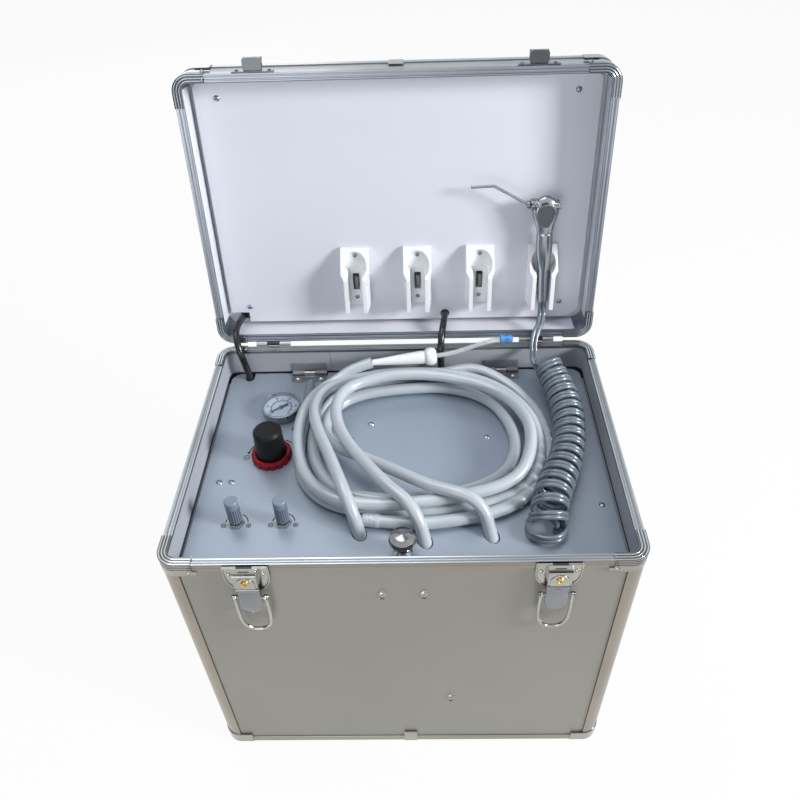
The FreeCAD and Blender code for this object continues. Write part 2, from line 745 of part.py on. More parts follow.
# ---------------------------------------------------------------- tool panel
def tool_panel():
    """White inner panel of the lid on four standoffs."""
    low_y = HALF_D - PANEL_LOW
    high_y = HALF_D - PANEL_HIGH
    z0 = PANEL_Z
    z1 = PANEL_Z + PANEL_T
    panel = box(-PANEL_SIDE, PANEL_SIDE, high_y, low_y, z0, z1)
    far = [e for e in panel.Edges
           if abs(e.BoundBox.ZLength - PANEL_T) < 1e-6 and e.BoundBox.YMax < 0]
    panel = panel.makeFillet(PANEL_CORNER, far)
    beyond = PANEL_SIDE + 1
    cut_right = prism([V(beyond, low_y + 1, z0 - 1), V(beyond, low_y - PANEL_CUT, z0 - 1),
                       V(PANEL_SIDE - PANEL_CUT, low_y + 1, z0 - 1)], V(0, 0, PANEL_T + 2))
    notch = box(-PANEL_SIDE - 1, -PANEL_SIDE + 20, low_y - PANEL_CUT, low_y + 1, z0 - 1, z1 + 1)
    hole = upright_rod(TUBE_HOLE_X, HALF_D - TUBE_DUCT, z0 - 1, z1 + 1, TUBE_R + TUBE_NOTCH_GAP)
    panel = panel.cut(cut_right).cut(notch).cut(hole)
    posts = []
    for x_side in (-1, 1):
        for height in (PANEL_SCREW_LOW, PANEL_SCREW_HIGH):
            posts.append(upright_rod(x_side * PANEL_SCREW_X, HALF_D - height,
                                     z1, LID_INNER, STANDOFF_R))
    save("tool_panel", opened(group([fused([panel] + posts)])))


def holder(x):
    """Moulded tool holder: wide block with a bowl, and an open channel below it."""
    back = PANEL_Z
    front = PANEL_Z - HOLDER_DEPTH
    top_y = HALF_D - HOLDER_HIGH
    low_y = HALF_D - HOLDER_LOW
    block_y = top_y + HOLDER_BLOCK
    shoulder = 6.0
    block = box(x - HOLDER_W / 2, x + HOLDER_W / 2, top_y, block_y, front, back)
    outline = [V(x - HOLDER_W / 2, 0, back), V(x + HOLDER_W / 2, 0, back),
               V(x + HOLDER_FRONT_W / 2, 0, front), V(x - HOLDER_FRONT_W / 2, 0, front)]
    trough = prism([p + V(0, block_y, 0) for p in outline], V(0, low_y - block_y, 0))
    wedges = []
    for side in (-1, 1):
        wide = x + side * HOLDER_W / 2
        slim = x + side * HOLDER_FRONT_W / 2
        wedges.append(prism([V(wide + side, block_y, front - 1),
                             V(wide + side, block_y - shoulder, front - 1),
                             V(slim, block_y, front - 1)], V(0, 0, HOLDER_DEPTH / 2)))
    body = fused([block, trough])
    for wedge in wedges:
        body = body.cut(wedge)
    slope = prism([V(x - HOLDER_W, top_y - 1, front - 1),
                   V(x - HOLDER_W, top_y + HOLDER_SLOPE, front - 1),
                   V(x - HOLDER_W, top_y + HOLDER_SLOPE, front),
                   V(x - HOLDER_W, top_y - 1, back - HOLDER_BROW)], V(2 * HOLDER_W, 0, 0))
    bowl_y = top_y + BOWL_DOWN
    bowl = upright_rod(x, bowl_y, front - 1, back - CHANNEL_FLOOR, BOWL_R)
    channel = box(x - CHANNEL_W / 2, x + CHANNEL_W / 2, bowl_y, low_y + 1,
                  front - 1, back - CHANNEL_FLOOR)
    lever_y = HALF_D - LEVER_MID
    slot = box(x - LEVER_SLOT_W / 2, x + LEVER_SLOT_W / 2, lever_y - LEVER_SLOT_L / 2,
               lever_y + LEVER_SLOT_L / 2, back - CHANNEL_FLOOR - 1, back + 1)
    pin_hole = lever_pin(x, LEVER_PIN_R + RUN_FIT, 2.0)
    return body.cut(slope).cut(bowl).cut(channel).cut(slot).cut(pin_hole)


def lever_pin(x, radius, reach):
    """Cross pin at the upper end of a valve lever."""
    pin_y = HALF_D - LEVER_MID - LEVER_L / 2 + 2 * LEVER_PIN_R
    pin_z = PANEL_Z - CHANNEL_FLOOR / 2
    half = LEVER_SLOT_W / 2 + reach
    return rod(V(x - half, pin_y, pin_z), V(x + half, pin_y, pin_z), radius)


def valve_lever(x):
    """Rocking lever in a holder's slot; a resting tool presses it in."""
    lever_y = HALF_D - LEVER_MID
    z_face = PANEL_Z - CHANNEL_FLOOR - LEVER_PROUD
    pad = box(x - LEVER_W / 2, x + LEVER_W / 2, lever_y - LEVER_L / 2, lever_y + LEVER_L / 2,
              z_face, z_face + LEVER_T)
    slope = prism([V(x - LEVER_W, lever_y + LEVER_L / 2 + 1, z_face - 1),
                   V(x - LEVER_W, lever_y - LEVER_L / 2 + 4, z_face - 1),
                   V(x - LEVER_W, lever_y + LEVER_L / 2 + 1, z_face + LEVER_PROUD)],
                  V(2 * LEVER_W, 0, 0))
    head = box(x - LEVER_W / 2, x + LEVER_W / 2, lever_y - LEVER_L / 2,
               lever_y - LEVER_L / 2 + 4 * LEVER_PIN_R, z_face, PANEL_Z - LEVER_PIN_R / 2)
    return fused([pad.cut(slope), head, lever_pin(x, LEVER_PIN_R, 1.5)])


def holders():
    save("tool_holders", opened(group([holder(x) for x in HOLDER_XS])))
    for i, x in enumerate(HOLDER_XS):
        save("valve_lever_%d" % (i + 1), opened(valve_lever(x)))


def lid_fasteners():
    """Screws of the tool panel and holders, and rivets of the lid's caps."""
    down = V(0, 0, -1)
    pieces = []
    for x_side in (-1, 1):
        for height in (PANEL_SCREW_LOW, PANEL_SCREW_HIGH):
            seat = V(x_side * PANEL_SCREW_X, HALF_D - height, PANEL_Z)
            pieces.append(dome(seat, down, SCREW_R, SCREW_H))
        for face, normal in ((FRONT - CAP_T, V(0, -1, 0)), (-FRONT + CAP_T, Y_AXIS)):
            seat = V(x_side * (HALF_W - RIVET_INSET), face, LID_Z + RIVET_DROP)
            pieces.append(dome(seat, normal, RIVET_R, RIVET_H))
    for x in HOLDER_XS:
        for height in (HOLDER_HIGH - 9, HOLDER_LOW + 9):
            seat = V(x, HALF_D - height, PANEL_Z - CHANNEL_FLOOR)
            pieces.append(dome(seat, down, SCREW_R * 0.85, SCREW_H * 0.8))
    return pieces


def lid_catches():
    """Hooks on the lid's front wall that the latch bails pull on."""
    hooks = []
    for side in (-1, 1):
        x = side * LATCH_X
        z0 = LID_Z + CATCH_UP
        plate = box(x - LATCH_PLATE_W / 2, x + LATCH_PLATE_W / 2, FRONT - LATCH_PLATE_T, FRONT,
                    LID_Z + 1, z0 + CATCH_H)
        shelf = box(x - CATCH_W / 2, x + CATCH_W / 2, FRONT - CATCH_OUT, FRONT,
                    z0 + CATCH_H - 4, z0 + CATCH_H)
        lip = box(x - CATCH_W / 2, x + CATCH_W / 2, FRONT - CATCH_OUT, FRONT - CATCH_OUT + 2,
                  z0 + CATCH_H - 4, z0 + CATCH_H + 3)
        hooks.append(fused([plate, shelf, lip]))
    save("lid_catches", opened(group(hooks)))


# ---------------------------------------------------------------- syringe
def syr_point(height, out=0.0, side=0.0):
    """Point by height along the upright syringe, in the closed lid's frame."""
    return V(SYR_X + side, HALF_D - height, SYR_Z - out)


def leaned(shape):
    """Lean a piece of the syringe in its holder and swing it open with the lid."""
    tipped = shape.copy()
    tipped.rotate(syr_point(SYR_LEAN_AT), Z_AXIS, -SYR_LEAN)
    return opened(tipped)


def leaned_point(point):
    """Where a point of the upright syringe lies in the open lid."""
    pivot = syr_point(SYR_LEAN_AT)
    turn = FreeCAD.Rotation(Z_AXIS, -SYR_LEAN)
    return opened_point(pivot + turn.multVec(point - pivot))


def button_wells(radius, length, start):
    """Bars along the two buttons, side by side across the head."""
    bars = []
    for offset in (-BUTTON_PITCH / 2, BUTTON_PITCH / 2):
        inner = syr_point(NOZ_Z - 2, offset, start)
        bars.append(rod(inner, inner + V(length, 0, 0), radius))
    return bars


def syringe():
    tube_end = rod(syr_point(SYR_LOW), syr_point(SYR_TAPER), SYR_TUBE_R)
    nose = cone(syr_point(SYR_TAPER), syr_point(SYR_SWELL), SYR_TUBE_R, SYR_SWELL_R)
    taper = cone(syr_point(SYR_SWELL), syr_point(SYR_GRIP), SYR_SWELL_R, SYR_GRIP_R)
    grip = rod(syr_point(SYR_GRIP), syr_point(SYR_SEAM), SYR_GRIP_R)
    head_mid = SYR_TOP - SYR_HEAD_W / 2
    neck = cone(syr_point(SYR_SEAM), syr_point(head_mid), SYR_GRIP_R, SYR_HEAD_T / 2)
    head = rod(syr_point(head_mid, -SYR_HEAD_T / 2), syr_point(head_mid, SYR_HEAD_T / 2),
               SYR_HEAD_W / 2)
    nut_face = SYR_HEAD_W / 2 + NOZ_NUT_L
    nut = rod(syr_point(NOZ_Z), syr_point(NOZ_Z, 0, -nut_face), NOZ_NUT_R + 1)
    body = fused([tube_end, nose, taper, grip, neck, head, nut])
    cheek = box(SYR_X - SYR_HEAD_W, SYR_X + SYR_HEAD_W, HALF_D - SYR_TOP - 1, HALF_D - SYR_SEAM - 4,
                SYR_Z - SYR_HEAD_T, SYR_Z - SYR_CHEEK)
    body = body.cut(cheek)
    bore = rod(syr_point(NOZ_Z, 0, -nut_face + NOZ_SHAFT_L), syr_point(NOZ_Z, 0, -nut_face - 1),
               NOZ_SHAFT_R)
    body = body.cut(bore)
    well_end = SYR_HEAD_W / 2 - BUTTON_L
    for well in button_wells(BUTTON_R + RUN_FIT, SYR_HEAD_W, well_end):
        body = body.cut(well)
    save("syringe_body", leaned(body))
    start = well_end + BUTTON_TRAVEL + REST_GAP
    for name, button in zip(("air_button", "water_button"),
                            button_wells(BUTTON_R, BUTTON_L, start)):
        save(name, leaned(button))


def nozzle():
    """Swivelling nozzle: shaft, collar, rising run and level tip."""
    face = -SYR_HEAD_W / 2 - NOZ_NUT_L
    shaft = rod(syr_point(NOZ_Z, 0, face + NOZ_SHAFT_L - REST_GAP), syr_point(NOZ_Z, 0, face - 3),
                NOZ_SHAFT_R - RUN_FIT)
    collar = rod(syr_point(NOZ_Z, 0, face - REST_GAP), syr_point(NOZ_Z, 0, face - NOZ_NUT_L),
                 NOZ_NUT_R)
    start = syr_point(NOZ_Z, 0, face - NOZ_NUT_L + NOZ_R)
    bend = syr_point(NOZ_Z + NOZ_RISE, 0, -NOZ_REACH)
    tip = syr_point(NOZ_Z + NOZ_RISE, 0, -NOZ_TIP)
    elbow = Part.makeSphere(NOZ_R, bend)
    pieces = [shaft, collar, rod(start, bend, NOZ_R), elbow, rod(bend, tip, NOZ_R)]
    save("nozzle", leaned(fused(pieces)))


# ---------------------------------------------------------------- deck
def hose_direction():
    """Hoses come up through the deck leaning to the rear left."""
    return V(-0.28, 0.62, 0.73).normalize()


def exit_bores(radius):
    """Slanting bars along the hoses where they pass the deck."""
    lean = hose_direction()
    bars = []
    for x, y in HOSE_EXITS:
        centre = V(x, y, DECK_Z)
        bars.append(rod(centre - lean * (GLAND_L + 8), centre + lean * GLAND_L, radius))
    return bars


def deck_plate():
    plate = box(-DECK_SIDE, DECK_SIDE, DECK_FRONT, DECK_REAR, DECK_Z - DECK_T, DECK_Z)
    upright = [e for e in plate.Edges if abs(e.BoundBox.ZLength - DECK_T) < 1e-6]
    plate = plate.makeFillet(DECK_CORNER, upright)
    for bore in exit_bores(HOSE_R + HOSE_HOLE_GAP):
        plate = plate.cut(bore)
    z0 = DECK_Z - DECK_T - 1
    z1 = DECK_Z + 1
    holes = [(GAUGE_X, GAUGE_Y, GAUGE_STEM_R), (REG_X, REG_Y, REG_RING_R - 5),
             (BARE_HOLE[0], BARE_HOLE[1], BARE_HOLE_R),
             (COIL_GLAND[0], COIL_GLAND[1], COIL_LOOP_TUBE + 1.2)]
    for x in VALVE_XS:
        holes.append((x, VALVE_Y, VALVE_STEM_R + 1))
    for x, y, radius in holes:
        plate = plate.cut(upright_rod(x, y, z0, z1, radius))
    slot_r = TUBE_R + TUBE_NOTCH_GAP
    for x in (TUBE_LEFT_X, TUBE_CENTRE_X):
        plate = plate.cut(upright_rod(x, TUBE_Y, z0, z1, slot_r))
        plate = plate.cut(box(x - slot_r, x + slot_r, TUBE_Y, DECK_REAR + 1, z0, z1))
    for side in (-1, 1):
        x = side * DECK_HINGE_X
        plate = plate.cut(box(x - DECK_HINGE_W / 2 - 1, x + DECK_HINGE_W / 2 + 1,
                              DECK_AXIS_Y - DECK_KNUCKLE_R - 0.4, DECK_REAR + 1, z0, z1))
    save("deck_plate", plate)


def deck_axis_point(x):
    return V(x, DECK_AXIS_Y, DECK_AXIS_Z)


def deck_leaf(side):
    """Hinge leaf on the deck with its middle knuckle."""
    x = side * DECK_HINGE_X
    half = DECK_HINGE_W / 2
    third = DECK_HINGE_W / 6
    y_edge = DECK_AXIS_Y - DECK_KNUCKLE_R - SLOT_FIT
    leaf = box(x - half, x + half, y_edge - DECK_LEAF_Y, y_edge, DECK_Z, DECK_Z + DECK_LEAF_T)
    tongue = box(x - third + SLOT_FIT, x + third - SLOT_FIT, y_edge - 1, DECK_AXIS_Y,
                 DECK_Z, DECK_Z + DECK_LEAF_T)
    barrel = rod(deck_axis_point(x - third + SLOT_FIT), deck_axis_point(x + third - SLOT_FIT),
                 DECK_KNUCKLE_R)
    bore = rod(deck_axis_point(x - half), deck_axis_point(x + half), PIN_R)
    return fused([leaf, tongue, barrel]).cut(bore)


def deck_fittings():
    """Hinge leaves and screw heads of the deck."""
    pieces = [deck_leaf(-1), deck_leaf(1)]
    for side in (-1, 1):
        for offset in (-1, 1):
            x = side * DECK_HINGE_X + offset * (DECK_HINGE_W / 2 - 6)
            y = DECK_AXIS_Y - DECK_KNUCKLE_R - DECK_LEAF_Y / 2
            pieces.append(dome(V(x, y, DECK_Z + DECK_LEAF_T), Z_AXIS, SCREW_R, SCREW_H))
    for x, y in DECK_SCREWS:
        pieces.append(dome(V(x, y, DECK_Z), Z_AXIS, SCREW_R, SCREW_H))
    save("deck_fittings", group(pieces))


def deck_supports():
    """Ledges under the deck, and the wall halves of its hinges with their pins."""
    z1 = DECK_Z - DECK_T
    inner_x = HALF_W - INNER
    inner_y = HALF_D - INNER
    pieces = []
    side_run = inner_y - EDGE_R
    for side in (-1, 1):
        wall = side * inner_x
        shelf_in = side * (inner_x - LEDGE)
        low, high = sorted((wall, shelf_in))
        shelf = box(low, high, -side_run, side_run, z1 - LEDGE_T, z1)
        low, high = sorted((wall, side * (inner_x - LEDGE_T)))
        web = box(low, high, -side_run, side_run, z1 - LEDGE, z1)
        pieces.append(fused([shelf, web]))
    front_run = HALF_W - LEDGE_SHORT
    shelf = box(-front_run, front_run, -inner_y, -inner_y + LEDGE, z1 - LEDGE_T, z1)
    web = box(-front_run, front_run, -inner_y, -inner_y + LEDGE_T, z1 - LEDGE, z1)
    pieces.append(fused([shelf, web]))
    half = DECK_HINGE_W / 2
    third = DECK_HINGE_W / 6
    for side in (-1, 1):
        x = side * DECK_HINGE_X
        leaf = box(x - half, x + half, inner_y - DECK_LEAF_T, inner_y,
                   DECK_AXIS_Z, DECK_AXIS_Z + DECK_LEAF_Y)
        barrels = []
        for a, b in ((x - half, x - third), (x + third, x + half)):
            barrel = rod(deck_axis_point(a), deck_axis_point(b), DECK_KNUCKLE_R)
            tie = box(a, b, DECK_AXIS_Y, inner_y, DECK_AXIS_Z, DECK_AXIS_Z + DECK_LEAF_T)
            barrels.extend([barrel, tie])
        bore = rod(deck_axis_point(x - half - 1), deck_axis_point(x + half + 1), PIN_R)
        pieces.append(fused([leaf] + barrels).cut(bore))
        pieces.append(rod(deck_axis_point(x - half), deck_axis_point(x + half), PIN_R - RUN_FIT))
    save("deck_supports", group(pieces))


def gauge():
    """Pressure gauge let into the deck, with its needle under glass."""
    profile = [(0, -GAUGE_STEM_L), (GAUGE_STEM_R - 0.5, -GAUGE_STEM_L), (GAUGE_STEM_R - 0.5, 0),
               (GAUGE_R - 1.2, 0), (GAUGE_R - 1.2, GAUGE_H - 4), (GAUGE_R, GAUGE_H - 3.5),
               (GAUGE_R, GAUGE_H - 0.5), (GAUGE_R - 0.6, GAUGE_H), (GAUGE_R - GAUGE_BEZEL, GAUGE_H),
               (GAUGE_R - GAUGE_BEZEL, GAUGE_H - 5.5), (0, GAUGE_H - 5.5)]
    body = turned(profile, GAUGE_X, GAUGE_Y, DECK_Z)
    face_z = DECK_Z + GAUGE_H - 5.5
    post = upright_rod(GAUGE_X, GAUGE_Y, face_z - 0.5, face_z + 1.6, 0.8 - RUN_FIT)
    glass_z = DECK_Z + GAUGE_H - 1.0 - GLASS_T
    glass = upright_rod(GAUGE_X, GAUGE_Y, glass_z, glass_z + GLASS_T, GAUGE_R - GAUGE_BEZEL)
    hub = upright_rod(GAUGE_X, GAUGE_Y, face_z + 0.6, face_z + 2.2, 2.2)
    blade = prism([V(-4, -1.1, 0), V(NEEDLE_L, -0.25, 0), V(NEEDLE_L, 0.25, 0), V(-4, 1.1, 0)],
                  V(0, 0, 0.5))
    blade.rotate(V(0, 0, 0), Z_AXIS, 215)
    blade.translate(V(GAUGE_X, GAUGE_Y, face_z + 1.0))
    bore = upright_rod(GAUGE_X, GAUGE_Y, face_z, face_z + 1.7, 0.8)
    save("gauge_case", fused([body, post]))
    save("gauge_glass", glass)
    save("gauge_needle", fused([hub, blade]).cut(bore))


def regulator():
    """Air regulator: body under the deck, red lock ring, black pull-and-turn knob."""
    ring_in = REG_RING_R - 4.2
    ring = turned([(ring_in, 0), (REG_RING_R, 0), (REG_RING_R, REG_RING_H - 1.5),
                   (REG_RING_R - 1.5, REG_RING_H), (ring_in, REG_RING_H)], REG_X, REG_Y, DECK_Z)
    scallops = []
    for i in range(16):
        angle = 2 * math.pi * i / 16
        x = REG_X + (REG_RING_R + 0.6) * math.cos(angle)
        y = REG_Y + (REG_RING_R + 0.6) * math.sin(angle)
        scallops.append(upright_rod(x, y, DECK_Z - 1, DECK_Z + REG_RING_H + 1, 1.7))
    for scallop in scallops:
        ring = ring.cut(scallop)
    save("regulator_ring", ring)
    knob_z = REG_RING_H
    top = knob_z + REG_KNOB_H
    skirt = ring_in - 0.6
    knob = turned([(REG_SPINDLE_R, 0.4), (skirt, 0.4), (skirt, knob_z - 1), (REG_KNOB_R, knob_z),
                   (REG_KNOB_TOP_R, top - 2.5), (REG_KNOB_TOP_R - 2.5, top), (0, top),
                   (0, top - 6), (REG_SPINDLE_R, top - 6)], REG_X, REG_Y, DECK_Z)
    save("regulator_knob", knob)
    z1 = DECK_Z - DECK_T
    body = box_at(REG_X, REG_Y, REG_BODY_W, REG_BODY_W, z1 - REG_BODY_H, z1)
    bowl = upright_rod(REG_X, REG_Y, z1 - REG_BODY_H - 18, z1 - REG_BODY_H, REG_BODY_W * 0.34)
    spindle = upright_rod(REG_X, REG_Y, z1 - 2, DECK_Z + top - 7, REG_SPINDLE_R - RUN_FIT)
    return fused([body, bowl, spindle])


def needle_valve(x):
    """Needle valve: body under the deck, hexagon nut and stem above it."""
    z1 = DECK_Z - DECK_T
    body = upright_rod(x, VALVE_Y, z1 - VALVE_BODY_H, z1, VALVE_BODY_R)
    corners = []
    for i in range(6):
        angle = math.pi * i / 3
        reach = VALVE_NUT_AF / 2 / math.cos(math.pi / 6)
        corners.append(V(x + reach * math.cos(angle), VALVE_Y + reach * math.sin(angle), DECK_Z))
    nut = prism(corners, V(0, 0, VALVE_NUT_H))
    stem = upright_rod(x, VALVE_Y, z1 - 1, DECK_Z + VALVE_NUT_H + 9, VALVE_STEM_R)
    return fused([body, nut, stem])


def water_knob(x):
    """Ribbed push-on knob over a needle valve's stem."""
    z0 = DECK_Z + VALVE_NUT_H + 1
    knob = upright_rod(x, VALVE_Y, z0, z0 + KNOB_H, KNOB_R)
    knob = knob.makeChamfer(0.8, [e for e in knob.Edges if e.BoundBox.ZMin > z0 + 1])
    for i in range(KNOB_RIBS):
        angle = 2 * math.pi * i / KNOB_RIBS
        groove = upright_rod(x + (KNOB_R + 0.25) * math.cos(angle),
                             VALVE_Y + (KNOB_R + 0.25) * math.sin(angle), z0 - 1, z0 + KNOB_H - 3, 0.55)
        knob = knob.cut(groove)
    bore = upright_rod(x, VALVE_Y, z0 - 1, z0 + 10, VALVE_STEM_R + RUN_FIT)
    return knob.cut(bore)


def valves():
    pieces = [regulator()]
    for x, name in zip(VALVE_XS, ("water_knob_left", "water_knob_right")):
        pieces.append(needle_valve(x))
        save(name, water_knob(x))
    save("valve_bodies", group(pieces))


def lift_knob():
    """Turned chrome knob that lifts the deck's front edge."""
    head = LIFT_HEAD_R
    profile = [(0, 0), (8.6, 0), (8.6, 2.2), (5.0, 5.0), (5.0, 8.0), (8.2, 10.0), (8.2, 11.5),
               (6.2, 12.6), (head - 1.5, 16.5), (head, 19.5), (head - 1.2, 23.0),
               (head * 0.55, LIFT_H - 1.0), (0, LIFT_H)]
    save("lift_knob", turned(profile, LIFT_X, LIFT_Y, DECK_Z))


def hose_glands():
    """Slanting sockets under the deck that grip the hoses, and the coil's socket."""
    lean = hose_direction()
    z1 = DECK_Z - DECK_T
    under = box(-HALF_W, HALF_W, -HALF_D, HALF_D, z1 - 40, z1)
    glands = []
    for x, y in HOSE_EXITS:
        centre = V(x, y, DECK_Z)
        outer = rod(centre - lean * (GLAND_L + 10), centre + lean * 8, HOSE_R + GLAND_WALL)
        seat = centre - lean * GLAND_L
        bore = rod(seat, centre + lean * 12, HOSE_R + 0.05)
        flange = upright_rod(x, y, z1 - 2, z1, HOSE_R + GLAND_WALL + 5)
        glands.append(fused([outer.common(under), flange]).cut(bore))
    x, y = COIL_GLAND
    socket = upright_rod(x, y, z1 - 14, z1, COIL_LOOP_TUBE + 4)
    collar = upright_rod(x, y, z1, DECK_Z + 2.5, COIL_LOOP_TUBE + 1.15)
    bore = upright_rod(x, y, z1 - 10, DECK_Z + 4, COIL_LOOP_TUBE + 0.05)
    glands.append(fused([socket, collar]).cut(bore))
    save("hose_glands", group(glands))


# ---------------------------------------------------------------- hoses and cords
def on_deck(x, y, above):
    """Point by its height above the deck's face."""
    return V(x, y, DECK_Z + above)


def hose_leads():
    """Stretch of each hose from its socket to where it lies on the coil."""
    lean = hose_direction()
    rest = {
        "hose_left": [(-66, -24, 30.6), (-80, 20, 30.6)],
        "hose_middle": [(-8, -36, 30.6), (-34, 1, 30.6)],
        "hose_right": [(38, -50, 26), (5, -33, 19), (-28, -19, 15.5), (-62, -2, 15)],
    }
    for (x, y), name in zip(HOSE_EXITS, rest):
        hole = V(x, y, DECK_Z)
        points = [hole - lean * GLAND_L, hole + lean * HOSE_RISE]
        points += [on_deck(*place) for place in rest[name]]
        save(name, tube(points, HOSE_R, name))


def hose_tails():
    """Short ends that leave the coil: one to the loose coupling, one to the suction handle."""
    low = HOSE_R + REST_GAP
    coupling = [(-98, 32, low), (-102, 44, low), (COUPLING_X, 56, low),
                (COUPLING_X, COUPLING_Y, low)]
    handle = [(-84, 92, 18), (-72, 103, 22), (-56, 110, 27)]
    first = tube([on_deck(*p) for p in coupling], HOSE_R, "coupling tail")
    second = tube([on_deck(*p) for p in handle] + [HANDLE_TAIL], HOSE_R, "handle tail")
    save("hose_tails", group([first, second]))


def hose_coupling():
    """Loose coupling sleeve with its dark ring on the end of the left hose."""
    h = HOSE_R + REST_GAP
    start = on_deck(COUPLING_X, COUPLING_Y, h)
    ring_end = start + V(0, 4, 0)
    sleeve_end = start + V(-0.5, COUPLING_L, 0)
    ring = rod(start, ring_end, HOSE_R)
    sleeve = rod(ring_end, sleeve_end - V(0, 8, 0), HOSE_R - 0.4)
    nose = cone(sleeve_end - V(0, 8, 0), sleeve_end, HOSE_R - 1.0, HOSE_R - 2.2)
    save("hose_coupling", fused([ring, sleeve, nose]))


def suction_handle():
    """Saliva ejector valve handle, lying on the coil against the rear."""
    along = (SUCTION_HEAD - HANDLE_TAIL).normalize()
    stations = [(0, 3.0), (7, 3.0), (16, 5.4), (28, 5.4), (32, 7.5), (57, 7.5), (59, 9.6),
                (66, 9.6), (70, 8.2)]
    pieces = []
    for (s0, r0), (s1, r1) in zip(stations, stations[1:]):
        a = HANDLE_TAIL + along * s0
        b = HANDLE_TAIL + along * s1
        pieces.append(rod(a, b, r0) if r0 == r1 else cone(a, b, r0, r1))
    body = fused(pieces)
    end = HANDLE_TAIL + along * stations[-1][0]
    bore = rod(end - along * 20, end + along, EJECTOR_R + 0.05)
    save("suction_handle", body.cut(bore))
    return end - along * 12, along


def saliva_ejector(start, along):
    """Soft ejector tube pushed into the handle, and its slotted tip."""
    mouth = start + along * 12
    rest = [(66, 124, 39), (84, 126.5, 45)]
    tip_start = on_deck(EJECTOR_TIP_X - EJECTOR_TIP_L / 2, EJECTOR_TIP_Y, EJECTOR_TIP_H)
    tip_end = on_deck(EJECTOR_TIP_X + EJECTOR_TIP_L / 2, EJECTOR_TIP_Y, EJECTOR_TIP_H)
    points = [start, mouth + along * 10] + [on_deck(*p) for p in rest] + [tip_start]
    save("ejector_tube", tube(points, EJECTOR_R, "ejector_tube"))
    tip = rod(tip_start, tip_end, EJECTOR_TIP_R)
    tip = tip.makeFillet(1.5, [e for e in tip.Edges if e.BoundBox.XMin > tip_end.x - 0.1])
    save("ejector_tip", tip)


def oval_ring(out_x, out_y, in_x, in_y, z0, z1):
    """Upright oval ring about the coil's centre."""
    rings = []
    for half_x, half_y in ((out_x, out_y), (in_x, in_y)):
        oval = Part.Ellipse(V(HANK_X, HANK_Y, z0), half_x, half_y).toShape()
        rings.append(Part.Face(Part.Wire([oval])).extrude(V(0, 0, z1 - z0)))
    return rings[0].cut(rings[1])


def hose_coil():
    """Outer shape of the coil that the three hoses lie in."""
    low = oval_ring(HANK_OUT_X, HANK_OUT_Y, HANK_IN_X, HANK_IN_Y,
                    DECK_Z + SCREW_H + REST_GAP, DECK_Z + HANK_LOW_H)
    high = oval_ring(HANK_TOP_OUT_X, HANK_TOP_OUT_Y, HANK_IN_X, HANK_IN_Y,
                     DECK_Z + HANK_LOW_H - 1, DECK_Z + HANK_TOP_H)
    return fused([low, high])


def curly_coil():
    """Outer shape of the curled air and water pair, and its last flat turn on the deck."""
    height = COIL_R + REST_GAP
    route = [(133, -66, 0), (143, -44, 0), (156, -18, 0), (164, 10, 0), (167, 40, 0),
             (165, 70, 0), (160, 96, 2), (157, 115, 6)]
    body = tube([on_deck(x, y, height + lift) for x, y, lift in route], COIL_R, "curly_coil")
    turn = Part.makeTorus(COIL_LOOP_R, COIL_LOOP_TUBE,
                          on_deck(COIL_LOOP_X, COIL_LOOP_Y, COIL_LOOP_TUBE + REST_GAP))
    plug = upright_rod(COIL_GLAND[0], COIL_GLAND[1], DECK_Z - 10, DECK_Z + 5, COIL_LOOP_TUBE)
    save("curly_coil", body)
    save("curly_turn", group([turn.cut(plug), plug]))


def over_rims(x, behind, above):
    """Point of a route past the hinge line, from the case's rear face and rim."""
    return V(x, HALF_D + behind, RIM_Z + above)


def curly_lead():
    """Uncoiled stretch of the pair, over both rims and up to the syringe."""
    start = leaned_point(syr_point(SYR_LOW))
    below = leaned_point(syr_point(SYR_LOW - 13))
    rest = [over_rims(150.5, 8, 21), over_rims(144, -3, 16), over_rims(141, -12.5, 7),
            over_rims(141.5, -18, -5), over_rims(146, -21, -15)]
    save("curly_lead", tube([start, below] + rest, TWIN_R, "curly_lead"))


def supply_tubes():
    """Black tubes from the case up to the back of the tool panel."""
    behind = -PANEL_T - 2 + 3 * REST_GAP
    x = TUBE_LEFT_X
    left = [lid_point(x - 7, TUBE_DUCT, behind), lid_point(x - 8.5, TUBE_DUCT + 1, 9),
            over_rims(x - 11, 8.5, 20), over_rims(x - 10, -3, 16), over_rims(x - 6.5, -12.5, 6.5),
            over_rims(x - 3, -16.5, -7), over_rims(x - 0.6, -16.5, -21),
            over_rims(x, -16, -35), V(x, TUBE_Y, UNION_TOP)]
    x = TUBE_CENTRE_X
    centre = [lid_point(TUBE_HOLE_X, TUBE_DUCT, behind), lid_point(x + 4.5, TUBE_DUCT + 1, 9),
              over_rims(x + 2.5, 8.5, 20.5), over_rims(x + 0.5, -3, 16),
              over_rims(x - 1, -12, 6.5), over_rims(x - 1, -16, -7),
              over_rims(x - 0.4, -16.5, -21), over_rims(x, -16, -35), V(x, TUBE_Y, UNION_TOP)]
    save("black_tube_left", tube(left, TUBE_R, "black_tube_left"))
    save("black_tube_centre", tube(centre, TUBE_R, "black_tube_centre"))


def tube_unions():
    """Push-in unions on the rear wall that the black tubes plug into."""
    pieces = []
    for x in (TUBE_LEFT_X, TUBE_CENTRE_X):
        barrel = upright_rod(x, TUBE_Y, UNION_TOP - UNION_L, UNION_TOP, UNION_R)
        collar = upright_rod(x, TUBE_Y, UNION_TOP - UNION_L / 2, UNION_TOP - 3, UNION_R + 1)
        plate = box(x - UNION_R - 1, x + UNION_R + 1, TUBE_Y, HALF_D - INNER,
                    UNION_TOP - UNION_L + 2, UNION_TOP - UNION_L / 2)
        pieces.append(fused([barrel, collar, plate]))
    save("tube_unions", group(pieces))


